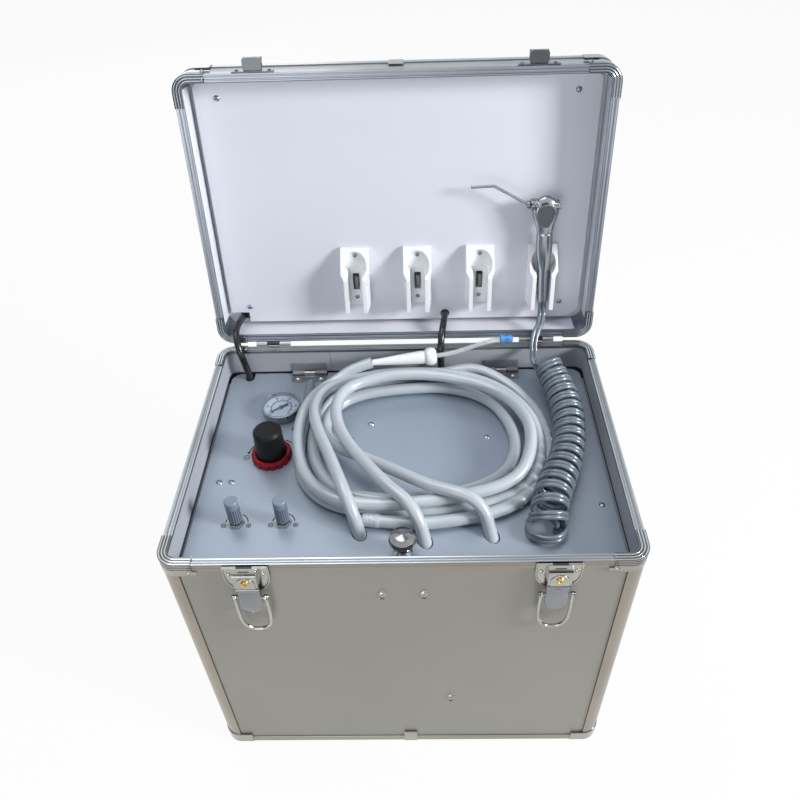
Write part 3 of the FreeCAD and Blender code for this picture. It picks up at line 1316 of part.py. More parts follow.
def lid_valves():
    """Flat valve blocks behind the tool panel, one for each holder, and their duct."""
    z0 = PANEL_Z + PANEL_T
    z1 = LID_INNER - REST_GAP
    mid_y = HALF_D - LEVER_MID
    pieces = []
    for x in HOLDER_XS:
        pieces.append(box_at(x, mid_y, 24, 30, z0, z1))
    duct_y = HALF_D - TUBE_DUCT
    duct = box(TUBE_LEFT_X - 10, HOLDER_XS[-1] + 12, duct_y - 4, duct_y + 4, z0 + 2, z1)
    legs = [box(x - 4, x + 4, mid_y + 14, duct_y, z0 + 2, z1) for x in HOLDER_XS]
    save("lid_valves", opened(fused([duct] + legs + pieces)))


# ---------------------------------------------------------------- latches
def latch_pivot(side):
    """Axis of a latch lever on the front face."""
    return V(side * LATCH_X, FRONT - LATCH_PIVOT_OUT, RIM_Z - LATCH_PIVOT_DROP)


def bail_pivot(side):
    """Axis of the wire bail on its lever."""
    return V(side * LATCH_X, FRONT - LATCH_PIVOT_OUT, RIM_Z - BAIL_DROP)


def across(centre, half):
    """Two points on a cross axis, for a rod."""
    return centre - V(half, 0, 0), centre + V(half, 0, 0)


def latch_base(side):
    """Latch plate, its box with a key lock, and the ears that carry the lever."""
    x = side * LATCH_X
    top = RIM_Z - 1
    plate = box(x - LATCH_PLATE_W / 2, x + LATCH_PLATE_W / 2, FRONT - LATCH_PLATE_T, FRONT,
                top - LATCH_PLATE_H, top)
    box_top = RIM_Z - LATCH_BOX_TOP
    case = box(x - LATCH_BOX_W / 2, x + LATCH_BOX_W / 2, FRONT - LATCH_BOX_D, FRONT,
               box_top - LATCH_BOX_H, box_top)
    case = case.makeChamfer(2.0, [e for e in case.Edges
                                  if e.BoundBox.YMax < FRONT - 1 and e.BoundBox.ZLength < 1e-6])
    pivot = latch_pivot(side)
    ears = []
    for ear_side in (-1, 1):
        ear_x = x + ear_side * (LEVER_ARM_W / 2 + SLOT_FIT + EAR_T / 2)
        lug = box(ear_x - EAR_T / 2, ear_x + EAR_T / 2, pivot.y, FRONT, pivot.z - EAR_R, pivot.z + EAR_R)
        ears.append(lug)
        ears.append(rod(*across(V(ear_x, pivot.y, pivot.z), EAR_T / 2), EAR_R))
    bore = rod(*across(pivot, LEVER_ARM_W), PIN_R)
    lock_z = RIM_Z - LATCH_LOCK_DROP
    lock = rod(V(x, FRONT - LATCH_BOX_D, lock_z), V(x, FRONT - LATCH_BOX_D - 1.2, lock_z), LATCH_LOCK_R)
    keyway = box(x - 0.5, x + 0.5, FRONT - LATCH_BOX_D - 2, FRONT - LATCH_BOX_D - 0.4,
                 lock_z - 2, lock_z + 2)
    base = fused([plate, case] + ears).cut(bore)
    return [base, lock.cut(keyway)]


def latch_lever(side):
    """Sprung-steel lever with a rolled eye, side pins for the bail and a rounded end."""
    pivot = latch_pivot(side)
    half = LEVER_ARM_W / 2
    low = pivot.z - LEVER_ARM_H
    arm = box(pivot.x - half, pivot.x + half, pivot.y - LEVER_ARM_T / 2, pivot.y + LEVER_ARM_T / 2,
              low + half * 0.6, pivot.z)
    tip_at = V(pivot.x, pivot.y - LEVER_ARM_T / 2, low + half)
    tip = rod(tip_at, tip_at + V(0, LEVER_ARM_T, 0), half)
    eye = rod(*across(pivot, half), EAR_R)
    pin = rod(*across(pivot, half + EAR_T), PIN_R - RUN_FIT)
    bail_at = bail_pivot(side)
    pegs = rod(*across(bail_at, BAIL_HALF), PIN_R - RUN_FIT)
    boss = rod(*across(bail_at, half), EAR_R - 0.6)
    return fused([arm, tip, eye, pin, boss, pegs])


def latch_bail(side):
    """Wire loop that hooks over the lid's catch."""
    pivot = bail_pivot(side)
    leg = V(BAIL_HALF - BAIL_WIRE_R - 2 * SLOT_FIT, 0, 0)
    top = pivot - V(0, 0, EAR_R - 1)
    end = pivot - V(0, 0, BAIL_L)
    pieces = [tube([top - leg, end - leg, end + leg, top + leg], BAIL_WIRE_R, "bail", BAIL_BEND)]
    for x_side in (-1, 1):
        eye = rod(*across(pivot + leg * x_side, BAIL_WIRE_R + 0.2), EAR_R - 0.2)
        pieces.append(eye.cut(rod(*across(pivot, BAIL_HALF + 1), PIN_R)))
    return fused(pieces)


def latches():
    bases = []
    for side, name in ((-1, "left"), (1, "right")):
        bases.extend(latch_base(side))
        save(name + "_latch_lever", latch_lever(side))
        save(name + "_latch_bail", latch_bail(side))
    save("latch_plates", group(bases))


# ---------------------------------------------------------------- inside the case
def pump():
    """Oil-free twin-head compressor on four rubber feet."""
    floor = FOOT_WEB + FLOOR_T
    base_z = floor + FOOT_H
    base = box_at(PUMP_X, PUMP_Y, PUMP_L + 40, 90, base_z, base_z + PUMP_BASE_T)
    drum = rod(V(PUMP_X - PUMP_L / 2, PUMP_Y, PUMP_Z), V(PUMP_X + PUMP_L / 2, PUMP_Y, PUMP_Z), PUMP_R)
    cradle = box_at(PUMP_X, PUMP_Y, PUMP_L * 0.6, PUMP_R, base_z + PUMP_BASE_T, PUMP_Z - PUMP_R / 2)
    motor = fused([base, drum, cradle])
    heads = []
    for side in (-1, 1):
        x = PUMP_X + side * (PUMP_L / 2 - HEAD_W * 0.1)
        crank = box_at(x, PUMP_Y, HEAD_W * 0.5, HEAD_D, PUMP_Z - 20, PUMP_Z + PUMP_R)
        cylinder = upright_rod(x, PUMP_Y, PUMP_Z + PUMP_R, PUMP_Z + PUMP_R + HEAD_H * 0.4, 24)
        cover = box_at(x, PUMP_Y, HEAD_W, HEAD_D * 0.8, PUMP_Z + PUMP_R + HEAD_H * 0.4,
                       PUMP_Z + PUMP_R + HEAD_H * 0.75)
        heads.append(fused([crank, cylinder, cover]).cut(
            rod(V(x - HEAD_W, PUMP_Y, PUMP_Z), V(x + HEAD_W, PUMP_Y, PUMP_Z), PUMP_R + REST_GAP)))
    save("pump", group([motor] + heads))
    feet = []
    for dx in (-1, 1):
        for dy in (-1, 1):
            feet.append(upright_rod(PUMP_X + dx * (PUMP_L / 2 + 4), PUMP_Y + dy * 31, floor, base_z, FOOT_R))
    save("pump_feet", group(feet))


def bottles():
    """Clean-water and waste bottles standing in a sheet tray."""
    floor = FOOT_WEB + FLOOR_T + RACK_T
    bodies = []
    caps = []
    for x in BOTTLE_XS:
        top = floor + BOTTLE_H
        outer = turned([(0, 0), (BOTTLE_R - 4, 0), (BOTTLE_R, 4), (BOTTLE_R, BOTTLE_H - 30),
                        (BOTTLE_CAP_R - 4, BOTTLE_H - 8), (BOTTLE_CAP_R - 4, BOTTLE_H), (0, BOTTLE_H)],
                       x, BOTTLE_Y, floor)
        bodies.append(outer)
        cap = upright_rod(x, BOTTLE_Y, top, top + BOTTLE_CAP_H, BOTTLE_CAP_R)
        stub = upright_rod(x, BOTTLE_Y, top + BOTTLE_CAP_H, top + BOTTLE_CAP_H + 12, TUBE_R)
        caps.append(fused([cap, stub]))
    save("bottles", group(bodies + caps))
    reach = BOTTLE_R + RACK_T + REST_GAP
    x0 = BOTTLE_XS[0] - reach
    x1 = BOTTLE_XS[1] + reach
    tray = box(x0, x1, BOTTLE_Y - reach, BOTTLE_Y + reach, FOOT_WEB + FLOOR_T, floor + RACK_H)
    hollow = box(x0 + RACK_T, x1 - RACK_T, BOTTLE_Y - reach + RACK_T, BOTTLE_Y + reach - RACK_T,
                 floor, floor + RACK_H + 1)
    save("bottle_tray", tray.cut(hollow))


# ---------------------------------------------------------------- rear power inlet
def inlet_boxes():
    """The pass-through cut in the rear wall and the plate over it."""
    y_face = HALF_D - SKIN
    hole = box(INLET_X - INLET_W / 2 + 6, INLET_X + INLET_W / 2 - 6, HALF_D - INNER - 1, HALF_D + 1,
               INLET_Z - INLET_H / 2 + 6, INLET_Z + INLET_H / 2 - 6)
    plate = box(INLET_X - INLET_W / 2, INLET_X + INLET_W / 2, y_face, y_face + INLET_T,
                INLET_Z - INLET_H / 2, INLET_Z + INLET_H / 2)
    return hole, plate


def rocker_axis():
    return V(INLET_X + INLET_W / 4 - 1, HALF_D - SKIN, INLET_Z)


def power_inlet():
    """Appliance inlet with three blades, beside a rocker switch."""
    hole, plate = inlet_boxes()
    body = box(INLET_X - INLET_W / 2 + 6.2, INLET_X + INLET_W / 2 - 6.2, HALF_D - INLET_DEEP,
               HALF_D - SKIN, INLET_Z - INLET_H / 2 + 6.2, INLET_Z + INLET_H / 2 - 6.2)
    socket_x = INLET_X - INLET_W / 4 + 2
    socket = box(socket_x - SOCKET_W / 2, socket_x + SOCKET_W / 2, HALF_D - SOCKET_DEEP, HALF_D + 5,
                 INLET_Z - SOCKET_H / 2, INLET_Z + SOCKET_H / 2)
    well_at = rocker_axis()
    well = box(well_at.x - ROCKER_W / 2 - SLOT_FIT, well_at.x + ROCKER_W / 2 + SLOT_FIT,
               HALF_D - ROCKER_DEEP, HALF_D + 5,
               INLET_Z - ROCKER_H / 2 - 1, INLET_Z + ROCKER_H / 2 + 1)
    shell = fused([plate, body]).cut(socket).cut(well)
    shell = shell.cut(rod(*across(well_at, ROCKER_W / 2 + 1.2), ROCKER_PIN_R + RUN_FIT))
    blades = []
    for dx, dz in ((-5, -2), (5, -2), (0, 3)):
        blades.append(box(socket_x + dx - 1, socket_x + dx + 1, HALF_D - SOCKET_DEEP - 0.5,
                          HALF_D - SOCKET_DEEP + 12, INLET_Z + dz - 2.5, INLET_Z + dz + 2.5))
    save("power_inlet", fused([shell] + blades))
    rocker = rod(*across(well_at, ROCKER_W / 2), ROCKER_H / 2)
    rocker = rocker.common(box(well_at.x - ROCKER_W, well_at.x + ROCKER_W, well_at.y - 6,
                               well_at.y + ROCKER_PROUD, INLET_Z - ROCKER_H, INLET_Z + ROCKER_H))
    dish = rod(*across(V(well_at.x, well_at.y + ROCKER_PROUD + 18, INLET_Z), ROCKER_W), 20)
    rocker = rocker.cut(dish)
    rocker = fused([rocker, rod(*across(well_at, ROCKER_W / 2 + 1.0), ROCKER_PIN_R)])
    rocker.rotate(well_at, X_AXIS, -ROCKER_TILT)
    save("power_switch", rocker)
    return hole


# ---------------------------------------------------------------- build
def main():
    os.makedirs("parts", exist_ok=True)
    inlet_hole = power_inlet()
    case_shell(inlet_hole)
    hinges()
    latches()
    deck_supports()
    tube_unions()
    pump()
    bottles()
    deck_plate()
    deck_fittings()
    gauge()
    valves()
    lift_knob()
    hose_glands()
    hose_leads()
    save("hose_coil", hose_coil())
    hose_tails()
    hose_coupling()
    saliva_ejector(*suction_handle())
    curly_coil()
    curly_lead()
    supply_tubes()
    lid_shell()
    lid_fittings()
    lid_catches()
    tool_panel()
    lid_valves()
    holders()
    carry_handle()
    syringe()
    nozzle()


main()
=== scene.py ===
# %% [markdown]
# # Portable dental unit
# A case of laminated board with aluminium edges holds a pump and bottles below a grey deck,
# which carries a gauge, a regulator, water knobs and three wound hoses; the open lid holds
# tools and a syringe on a curly cord. The rigid parts could be modelled again by eye, but
# would drift from their joints, so this script loads the CAD model and dresses it.

# %% Load the frame
import math

import bmesh
import bpy
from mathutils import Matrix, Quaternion, Vector


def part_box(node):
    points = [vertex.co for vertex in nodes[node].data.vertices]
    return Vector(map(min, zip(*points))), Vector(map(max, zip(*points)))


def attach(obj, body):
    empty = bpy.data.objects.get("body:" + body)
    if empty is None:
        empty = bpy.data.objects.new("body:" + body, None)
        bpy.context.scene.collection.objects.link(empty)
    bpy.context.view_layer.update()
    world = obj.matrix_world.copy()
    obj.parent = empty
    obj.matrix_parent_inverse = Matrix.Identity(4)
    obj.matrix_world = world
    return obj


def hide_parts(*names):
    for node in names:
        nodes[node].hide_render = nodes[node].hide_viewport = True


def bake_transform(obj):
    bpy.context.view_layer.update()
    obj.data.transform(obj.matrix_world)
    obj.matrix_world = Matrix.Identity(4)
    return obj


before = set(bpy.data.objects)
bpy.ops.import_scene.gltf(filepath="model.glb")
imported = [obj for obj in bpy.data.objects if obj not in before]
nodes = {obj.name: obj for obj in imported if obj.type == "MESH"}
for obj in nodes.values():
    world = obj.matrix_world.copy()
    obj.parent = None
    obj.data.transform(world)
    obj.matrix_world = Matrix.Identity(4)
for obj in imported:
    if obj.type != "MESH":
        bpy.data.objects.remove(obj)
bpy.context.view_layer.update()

MM = 0.001


def added(name, data):
    """New object that shows a mesh, curve, lamp or camera."""
    obj = bpy.data.objects.new(name, data)
    bpy.context.scene.collection.objects.link(obj)
    return obj


print("CAD nodes:", len(nodes))

# %% [markdown]
# ## Camera
# It looks down into the open case from above the lid. A Track To constraint could aim it, but
# a plain place and three angles keep it the same; the shift frames the crop.

# %% Camera
camera_data = bpy.data.cameras.new("camera")
camera_data.lens = 33.44
camera_data.shift_x = -0.0085
camera_data.shift_y = -0.0488
camera = added("camera", camera_data)
camera.location = (0.0209, -0.4992, 0.8557)
camera.rotation_euler = [math.radians(angle) for angle in (49.62, 1.584, 0.338)]
bpy.context.scene.camera = camera
bpy.context.scene.view_settings.view_transform = "Standard"
print("camera at", tuple(camera.location))

# %% [markdown]
# ## Shader helper
# A material is a graph of nodes. Making each Math node by hand hides the formula, so `Wire`
# wraps an output socket and lets Python's own signs add the nodes: `1 - mask` becomes a
# Subtract node, and `place[2]` is the height. Every other node comes from `add`.

# %% Shader helper
def sign(operation, reflected=False):
    """Method that puts a Math node between a wire and another value."""
    def method(wire, other):
        values = (other, wire) if reflected else (wire, other)
        return wire.finish.math(operation, *values)
    return method


class Wire:
    """An output socket that can be used in sums."""

    __add__ = sign("ADD")
    __radd__ = sign("ADD", reflected=True)
    __sub__ = sign("SUBTRACT")
    __rsub__ = sign("SUBTRACT", reflected=True)
    __mul__ = sign("MULTIPLY")
    __gt__ = sign("GREATER_THAN")
    __lt__ = sign("LESS_THAN")

    def __init__(self, finish, socket):
        self.finish = finish
        self.socket = socket

    def __abs__(self):
        return self.finish.math("ABSOLUTE", self)

    def __getitem__(self, axis):
        return self.finish.add("SeparateXYZ", {0: self}, axis)

    def blend(self, first, second):
        """First colour where this value is 0, second where it is 1."""
        return self.finish.add("Mix", {0: self, 6: first, 7: second}, 2, data_type="RGBA")


class Finish:
    """The nodes of one material, or of the world."""

    def __init__(self, name, owner=None):
        self.name = name
        self.owner = owner or bpy.data.materials.new(name)
        self.owner.use_nodes = True
        self.tree = self.owner.node_tree
        self.tree.nodes.clear()
        self.place = self.add("TexCoord", {}, "Object")

    def add(self, kind, sockets, output=0, **settings):
        node = self.tree.nodes.new("ShaderNode" + kind)
        for name, value in settings.items():
            setattr(node, name, value)
        for name, value in sockets.items():
            socket = node.inputs[name]
            if isinstance(value, Wire):
                self.tree.links.new(value.socket, socket)
            else:
                socket.default_value = (*value, 1) if socket.type == "RGBA" else value
        return Wire(self, node.outputs[output])

    def math(self, operation, *values):
        return self.add("Math", dict(enumerate(values)), operation=operation)

    def vector(self, operation, *values, output=0):
        return self.add("VectorMath", dict(enumerate(values)), output, operation=operation)

    def show(self, shader, kind="Material"):
        output = self.tree.nodes.new("ShaderNodeOutput" + kind)
        self.tree.links.new(shader.socket, output.inputs["Surface"])


# %% [markdown]
# ## Patterns that finishes share
# Noise in object space keeps its real size on every part, as all are in metres and sit at the
# origin; UV maps would need unwrapping for sixty parts. A stretch turns round grain into the
# long marks of brushing.

# %% Pattern helpers
def noise(finish, scale, detail=2.0, stretch=None):
    """Soft random value around a half; scale counts the blobs in a metre."""
    place = finish.vector("MULTIPLY", finish.place, stretch) if stretch else finish.place
    return finish.add("TexNoise", {"Vector": place, "Scale": scale, "Detail": detail})


def bump(finish, height, depth, edge):
    """Normals tilted by a height pattern, over edges rounded by a radius; both in metres."""
    rounded = finish.add("Bevel", {"Radius": edge}, samples=4)
    return finish.add("Bump", {"Height": height, "Distance": depth, "Strength": 1.0,
                               "Normal": rounded})


def between(value, low, high):
    """One where the value lies between two numbers."""
    return (value > low) * (value < high)


def wave(finish, distance, pitch):
    """Smooth ridges of a pitch, from 0 to 1."""
    return finish.math("SINE", distance * (2 * math.pi / pitch)) * 0.5 + 0.5


# Finished materials by name: the frame has materials of its own, one also named clear_tube.
FINISHES = {}


def close(finish, colour, rough, fixed, normal=None):
    """End the graph in one Principled shader; fixed holds its other sockets."""
    sockets = {"Base Color": colour, "Roughness": rough, **fixed}
    if normal:
        sockets["Normal"] = normal
    finish.show(finish.add("BsdfPrincipled", sockets))
    FINISHES[finish.name] = finish.owner


# %% [markdown]
# ## Room
# The unit stands on a pale floor under soft studio light. A backdrop picture could give
# richer reflections, but a white world that only the camera and shiny surfaces see, with a
# grey one for the light itself, keeps colours as written. The floor glows a little, so it
# stays pale.

# %% Room
AMBIENT = (0.19, 0.205, 0.232)
WHITE = (1.0, 1.0, 1.0)
GLOW_SHARE = 0.94


def seen_directly(finish):
    """One where the camera, a mirror or glass looks at this surface."""
    camera_ray, mirror_ray, glass_ray = [
        finish.add("LightPath", {}, ray)
        for ray in ("Is Camera Ray", "Is Glossy Ray", "Is Transmission Ray")]
    return 1 - (1 - camera_ray) * (1 - mirror_ray) * (1 - glass_ray)


def aim(obj, place, spot, forward):
    """Stand an object at a place and turn one of its axes to a spot."""
    obj.location = place
    obj.rotation_mode = "QUATERNION"
    obj.rotation_quaternion = (Vector(spot) - Vector(place)).to_track_quat(forward, "Y")


def soft_box(name, place, spot, size, power, colour):
    """Square area lamp that points at a spot."""
    data = bpy.data.lights.new(name, "AREA")
    data.size = size
    data.energy = power
    data.color = colour
    aim(added(name, data), place, spot, "-Z")


bpy.context.scene.world = bpy.data.worlds.new("studio")
studio = Finish("studio", bpy.context.scene.world)
sky_colour = seen_directly(studio).blend(AMBIENT, WHITE)
studio.show(studio.add("Background", {"Color": sky_colour, "Strength": 1.0}), "World")

paper = Finish("floor_paper")
matt = paper.add("BsdfDiffuse", {"Color": (0.82, 0.82, 0.82)})
glow = paper.add("Emission", {"Color": WHITE, "Strength": 1.0})
paper.show(paper.add("MixShader", {0: seen_directly(paper) * GLOW_SHARE, 1: matt, 2: glow}))
bpy.ops.mesh.primitive_plane_add(size=8.0, location=(0, 0, 0))
floor = bpy.context.object
floor.name = "floor"
floor.data.materials.append(paper.owner)

soft_box("window", (2.1, -0.75, 1.35), (0, 0, 0.4), 0.6, 66, (1.0, 0.99, 0.98))
soft_box("ceiling", (-0.3, 0.2, 2.2), (0, 0, 0.3), 1.2, 15, (0.95, 0.98, 1.0))
soft_box("front_fill", (-0.6, -2.0, 0.6), (0, 0, 0.2), 1.2, 10, (1.0, 0.98, 0.95))
soft_box("back_fill", (-0.9, 2.1, 0.9), (0, 0, 0.3), 1.4, 6, (0.97, 0.98, 1.0))

# %% [markdown]
# ## Dark cards
# Polished metal in a white room looks like paper. Darkening it would kill its shine, so cards
# stand just outside the picture and the metal mirrors them; nothing else sees them.

# %% Dark cards
black = Finish("dark_card")
black.show(black.add("Emission", {"Color": (0.07, 0.075, 0.09), "Strength": 1.0}))


def dark_card(name, place, spot, width, height):
    """Card that faces a spot and shows only in reflections."""
    bpy.ops.mesh.primitive_plane_add(size=1.0, location=place)
    card = bpy.context.object
    card.name = name
    card.scale = (width, height, 1)
    aim(card, place, spot, "Z")
    card.data.materials.append(black.owner)
    for rays in ("camera", "diffuse", "transmission", "shadow"):
        setattr(card, "visible_" + rays, False)


dark_card("card_left", (-1.4, -0.6, 0.7), (0, 0, 0.4), 0.9, 1.3)
dark_card("card_front", (0.1, -1.7, 1.25), (0, 0, 0.4), 1.5, 0.7)
dark_card("card_top", (0.5, 0.4, 1.8), (0, 0, 0.4), 0.6, 0.8)
dark_card("card_right", (1.0, -0.7, 0.12), (0.2, -0.1, 0.15), 0.9, 0.3)
print("dark cards: left, front, top, right")

# %% [markdown]
# ## Metal finishes
# Extrusions, caps, latches and screws differ only in tint, shine and grain, so one recipe
# serves them: a drifting tint, a roughness that follows fine marks, and softened edges. An
# image texture would repeat from part to part.

# %% Metal finishes
def metal(name, low, high, rough, grain, depth, edge=0.0003, stretch=None):
    finish = Finish(name)
    drift = noise(finish, 14.0)
    marks = noise(finish, grain, 3.0, stretch)
    close(finish, (drift * 0.7 + marks * 0.3).blend(low, high),
          rough + (marks - 0.5) * (rough * 0.5), {"Metallic": 1.0},
          bump(finish, marks, depth, edge))


# name: low and high tint, roughness, grain, depth, edge, stretch
METALS = {
    "polished_chrome": ((0.30, 0.32, 0.34), (0.58, 0.60, 0.62), 0.12, 260, 0.00003, 0.0004),
    "zinc_plate": ((0.30, 0.31, 0.32), (0.48, 0.49, 0.50), 0.26, 700, 0.00002, 0.0002),
    "warm_nickel": ((0.26, 0.26, 0.24), (0.60, 0.59, 0.55), 0.16, 300, 0.00002, 0.0003),
    "satin_steel": ((0.30, 0.32, 0.34), (0.46, 0.48, 0.50), 0.17, 500, 0.00001, 0.0003,
                    (1, 1, 0.08)),
    "syringe_chrome": ((0.24, 0.265, 0.29), (0.42, 0.45, 0.49), 0.20, 300, 0.00002, 0.0002),
    "dark_steel": ((0.065, 0.072, 0.082), (0.15, 0.165, 0.185), 0.28, 900, 0.00004, 0.0007),
    "lever_steel": ((0.09, 0.095, 0.105), (0.40, 0.41, 0.43), 0.14, 60, 0.00003, 0.0004),
    "gauge_steel": ((0.16, 0.18, 0.20), (0.46, 0.50, 0.54), 0.12, 120, 0.00003, 0.0005),
    "lock_brass": ((0.45, 0.28, 0.08), (0.80, 0.56, 0.22), 0.22, 800, 0.00002, 0.0002)}
for name, numbers in METALS.items():
    metal(name, *numbers)
print("metals:", len(METALS))

# %% [markdown]
# ## Ridged rails and corner caps
# The extruded rails have fine ridges, and pressed caps carry them round the corners. Modelled
# ridges would need thousands of faces, so the finish works out how far each point lies in
# from the rounded outline. The lid is turned shut first, so that one sum serves both rims.
# Valleys between the ridges get painted shade, and tops a paler, cooler tint than sides as a
# painted reflection.

# %% Ridged rails and corner caps
LID_HINGE = (0.0, 0.145, 0.3372)
LID_OPEN = math.radians(97.26)
CORNER_MIDDLES = (0.189, 0.1265, 9.0)
CORNER_R = 0.016
RIMS_MEET = 0.336
RIDGED_WIDTH = 8.0


def rim_distance(finish, on_lid):
    """Millimetres in from the outline on top, or down from the rim on a side; and which it is."""
    place = finish.place
    facing = finish.add("TexCoord", {}, "Normal")
    if on_lid:
        place, facing = [
            finish.add("VectorRotate", {"Vector": turned, "Center": centre, "Angle": LID_OPEN},
                       rotation_type="X_AXIS")
            for turned, centre in ((place, LID_HINGE), (facing, (0, 0, 0)))]
    past = finish.vector("SUBTRACT", finish.vector("ABSOLUTE", place), CORNER_MIDDLES)
    corner = finish.vector("MAXIMUM", past, (0, 0, 0))
    inset = (CORNER_R - finish.vector("LENGTH", corner, output="Value")) * 1000
    drop = abs(place[2] - RIMS_MEET) * 1000
    level = abs(facing[2]) > 0.7
    return level * inset + (1 - level) * drop, level


def ridged(name, on_lid, valley_shade_and_mottle_tint, side_painted_reflection, top_painted_reflection, rough, pitch, depth, share):
    """Metal with ridges along the rim; share says how much painted shade darkens the valleys."""
    finish = Finish(name)
    distance, level = rim_distance(finish, on_lid)
    near_rim = distance < RIDGED_WIDTH
    ridges = wave(finish, distance, pitch)
    marks = noise(finish, 800, 3.0, (1, 1, 0.2))
    # Tops and sides take different tints as a painted reflection, and noise mottles them towards
    # the valley tint.
    mottle_and_painted_reflection = (noise(finish, 18.0) * 0.4).blend(level.blend(side_painted_reflection, top_painted_reflection), valley_shade_and_mottle_tint)
    height = ridges * near_rim * depth + marks * 0.000004
    # Valleys between the ridges darken: painted shade.
    close(finish, ((1 - ridges) * near_rim * share).blend(mottle_and_painted_reflection, valley_shade_and_mottle_tint),
          rough + (marks - 0.5) * 0.1, {"Metallic": 1.0}, bump(finish, height, 1.0, 0.0005))


# name: on the lid, valley shade tint, side and top tint of painted reflection, roughness, pitch,
# depth, share
RIDGED = {
    "case_edge": (False, (0.13, 0.14, 0.15), (0.37, 0.33, 0.26), (0.54, 0.59, 0.65), 0.30, 3.1,
        0.0002, 0.55),
    "lid_edge": (True, (0.11, 0.12, 0.14), (0.36, 0.40, 0.45), (0.36, 0.40, 0.46), 0.30, 3.1,
        0.0002, 0.40),
    "case_cap": (False, (0.03, 0.032, 0.036), (0.46, 0.44, 0.39), (0.80, 0.83, 0.86), 0.10, 2.5,
        0.00035, 0.92),
    "lid_cap": (True, (0.035, 0.042, 0.05), (0.30, 0.34, 0.38), (0.44, 0.49, 0.54), 0.20, 2.5,
        0.00035, 0.92)}
for name, numbers in RIDGED.items():
    ridged(name, *numbers)
print("ridged metals:", len(RIDGED))

# %% [markdown]
# ## Skin, deck and panel finishes
# Foiled board, metallic deck paint, powder coat and matt felt with soft dents share one
# recipe, as separate ones would repeat each other. Shade functions paint shade into the wall
# skin's joints and onto the lining under the deck.

# %% Sheet finishes
SHADE_TINT = (0.02, 0.021, 0.024)


def painted_seam_shade(finish):
    """Painted shade in thin lines where the wall skin slips under posts and rails."""
    reach = finish.vector("ABSOLUTE", finish.place)
    upright = between(reach[0], 0.1868, 0.1880) + between(reach[1], 0.1243, 0.1255)
    return (upright + (finish.place[2] > 0.3254) + (finish.place[2] < 0.0091)) * 0.7


def painted_shade_below_deck(finish):
    """Painted shade on the lining under the deck, where the gap stays dark."""
    return finish.place[2] < 0.3035


def sheet_finish(name, low, high, rough, metallic, grain, depth, dents=0.0, shade=None):
    finish = Finish(name)
    speck = noise(finish, grain)
    base = (noise(finish, 6.0, 3.0) * 0.6 + speck * 0.4).blend(low, high)
    if shade:
        base = shade(finish).blend(base, SHADE_TINT)
    height = speck * depth
    if dents:
        height = height + noise(finish, 22.0) * dents
    close(finish, base, rough + (speck - 0.5) * 0.12, {"Metallic": metallic},
          bump(finish, height, 1.0, 0.0004))


# name: low and high tint, roughness, metal, grain, depth, dents, shade
SHEETS = {
    "wall_skin": ((0.235, 0.227, 0.20), (0.31, 0.30, 0.265), 0.40, 0.45, 1500, 0.000012, 0.0,
        painted_seam_shade),
    "deck_paint": ((0.25, 0.30, 0.36), (0.40, 0.46, 0.54), 0.36, 0.35, 2600, 0.00001),
    "panel_coat": ((0.66, 0.69, 0.76), (0.71, 0.74, 0.80), 0.5, 0.0, 1800, 0.00001),
    "support_paint": ((0.21, 0.225, 0.25), (0.29, 0.305, 0.335), 0.5, 0.3, 1400, 0.00002),
    "lining_felt": ((0.30, 0.32, 0.355), (0.45, 0.475, 0.525), 0.7, 0.0, 1200, 0.00003, 0.0004,
        painted_shade_below_deck)}
for name, numbers in SHEETS.items():
    sheet_finish(name, *numbers)
print("sheet finishes:", len(SHEETS))

# %% [markdown]
# ## Two faces of the lid's board
# It has the wall skin outside and a pale foil inside. Cutting the mesh in two would part it
# from the CAD model, so the material decides: a face that looks towards the lid's middle is
# inside.

# %% Lid board
LID_MIDDLE = (0.0, 0.177, 0.479)
board = Finish("lid_board")
from_middle = board.vector("SUBTRACT", board.place, LID_MIDDLE)
facing = board.add("TexCoord", {}, "Normal")
inside = board.vector("DOT_PRODUCT", from_middle, facing, output="Value") < 0.0
drift = noise(board, 6.0, 3.0)
speck = noise(board, 1500)
outer = (drift * 0.6 + speck * 0.4).blend((0.30, 0.31, 0.33), (0.38, 0.39, 0.41))
inner = (drift * 0.7 + speck * 0.3).blend((0.66, 0.68, 0.74), (0.76, 0.78, 0.83))
close(board, inside.blend(outer, inner), 0.36 + speck * 0.14 + inside * 0.1,
      {"Metallic": 0.45 - inside * 0.45}, bump(board, speck, 0.000012, 0.0004))

# %% [markdown]
# ## Plastic, rubber and tube finishes
# Moulded plastics shine by a clear coat on top. One flat tint would look like a toy, so it
# clouds a little. Modelled ribs on the water knobs would swell the mesh; a wave round each
# gives them as a bump, with painted shade in the grooves.

# %% Plastic finishes
KNOB_MIDDLE = (-0.1323, -0.0748, 0.0)
KNOB_APART = 0.0217
KNOB_RIBS = 18


def plastic(name, low, high, rough, grain, depth, coat=0.0, edge=0.0003, shine=0.5):
    finish = Finish(name)
    cloud = noise(finish, 30.0)
    pebble = noise(finish, grain)
    close(finish, (cloud * 0.7 + pebble * 0.3).blend(low, high), rough + (cloud - 0.5) * 0.1,
          {"Coat Weight": coat, "Coat Roughness": 0.08, "Specular IOR Level": shine},
          bump(finish, pebble, depth, edge))


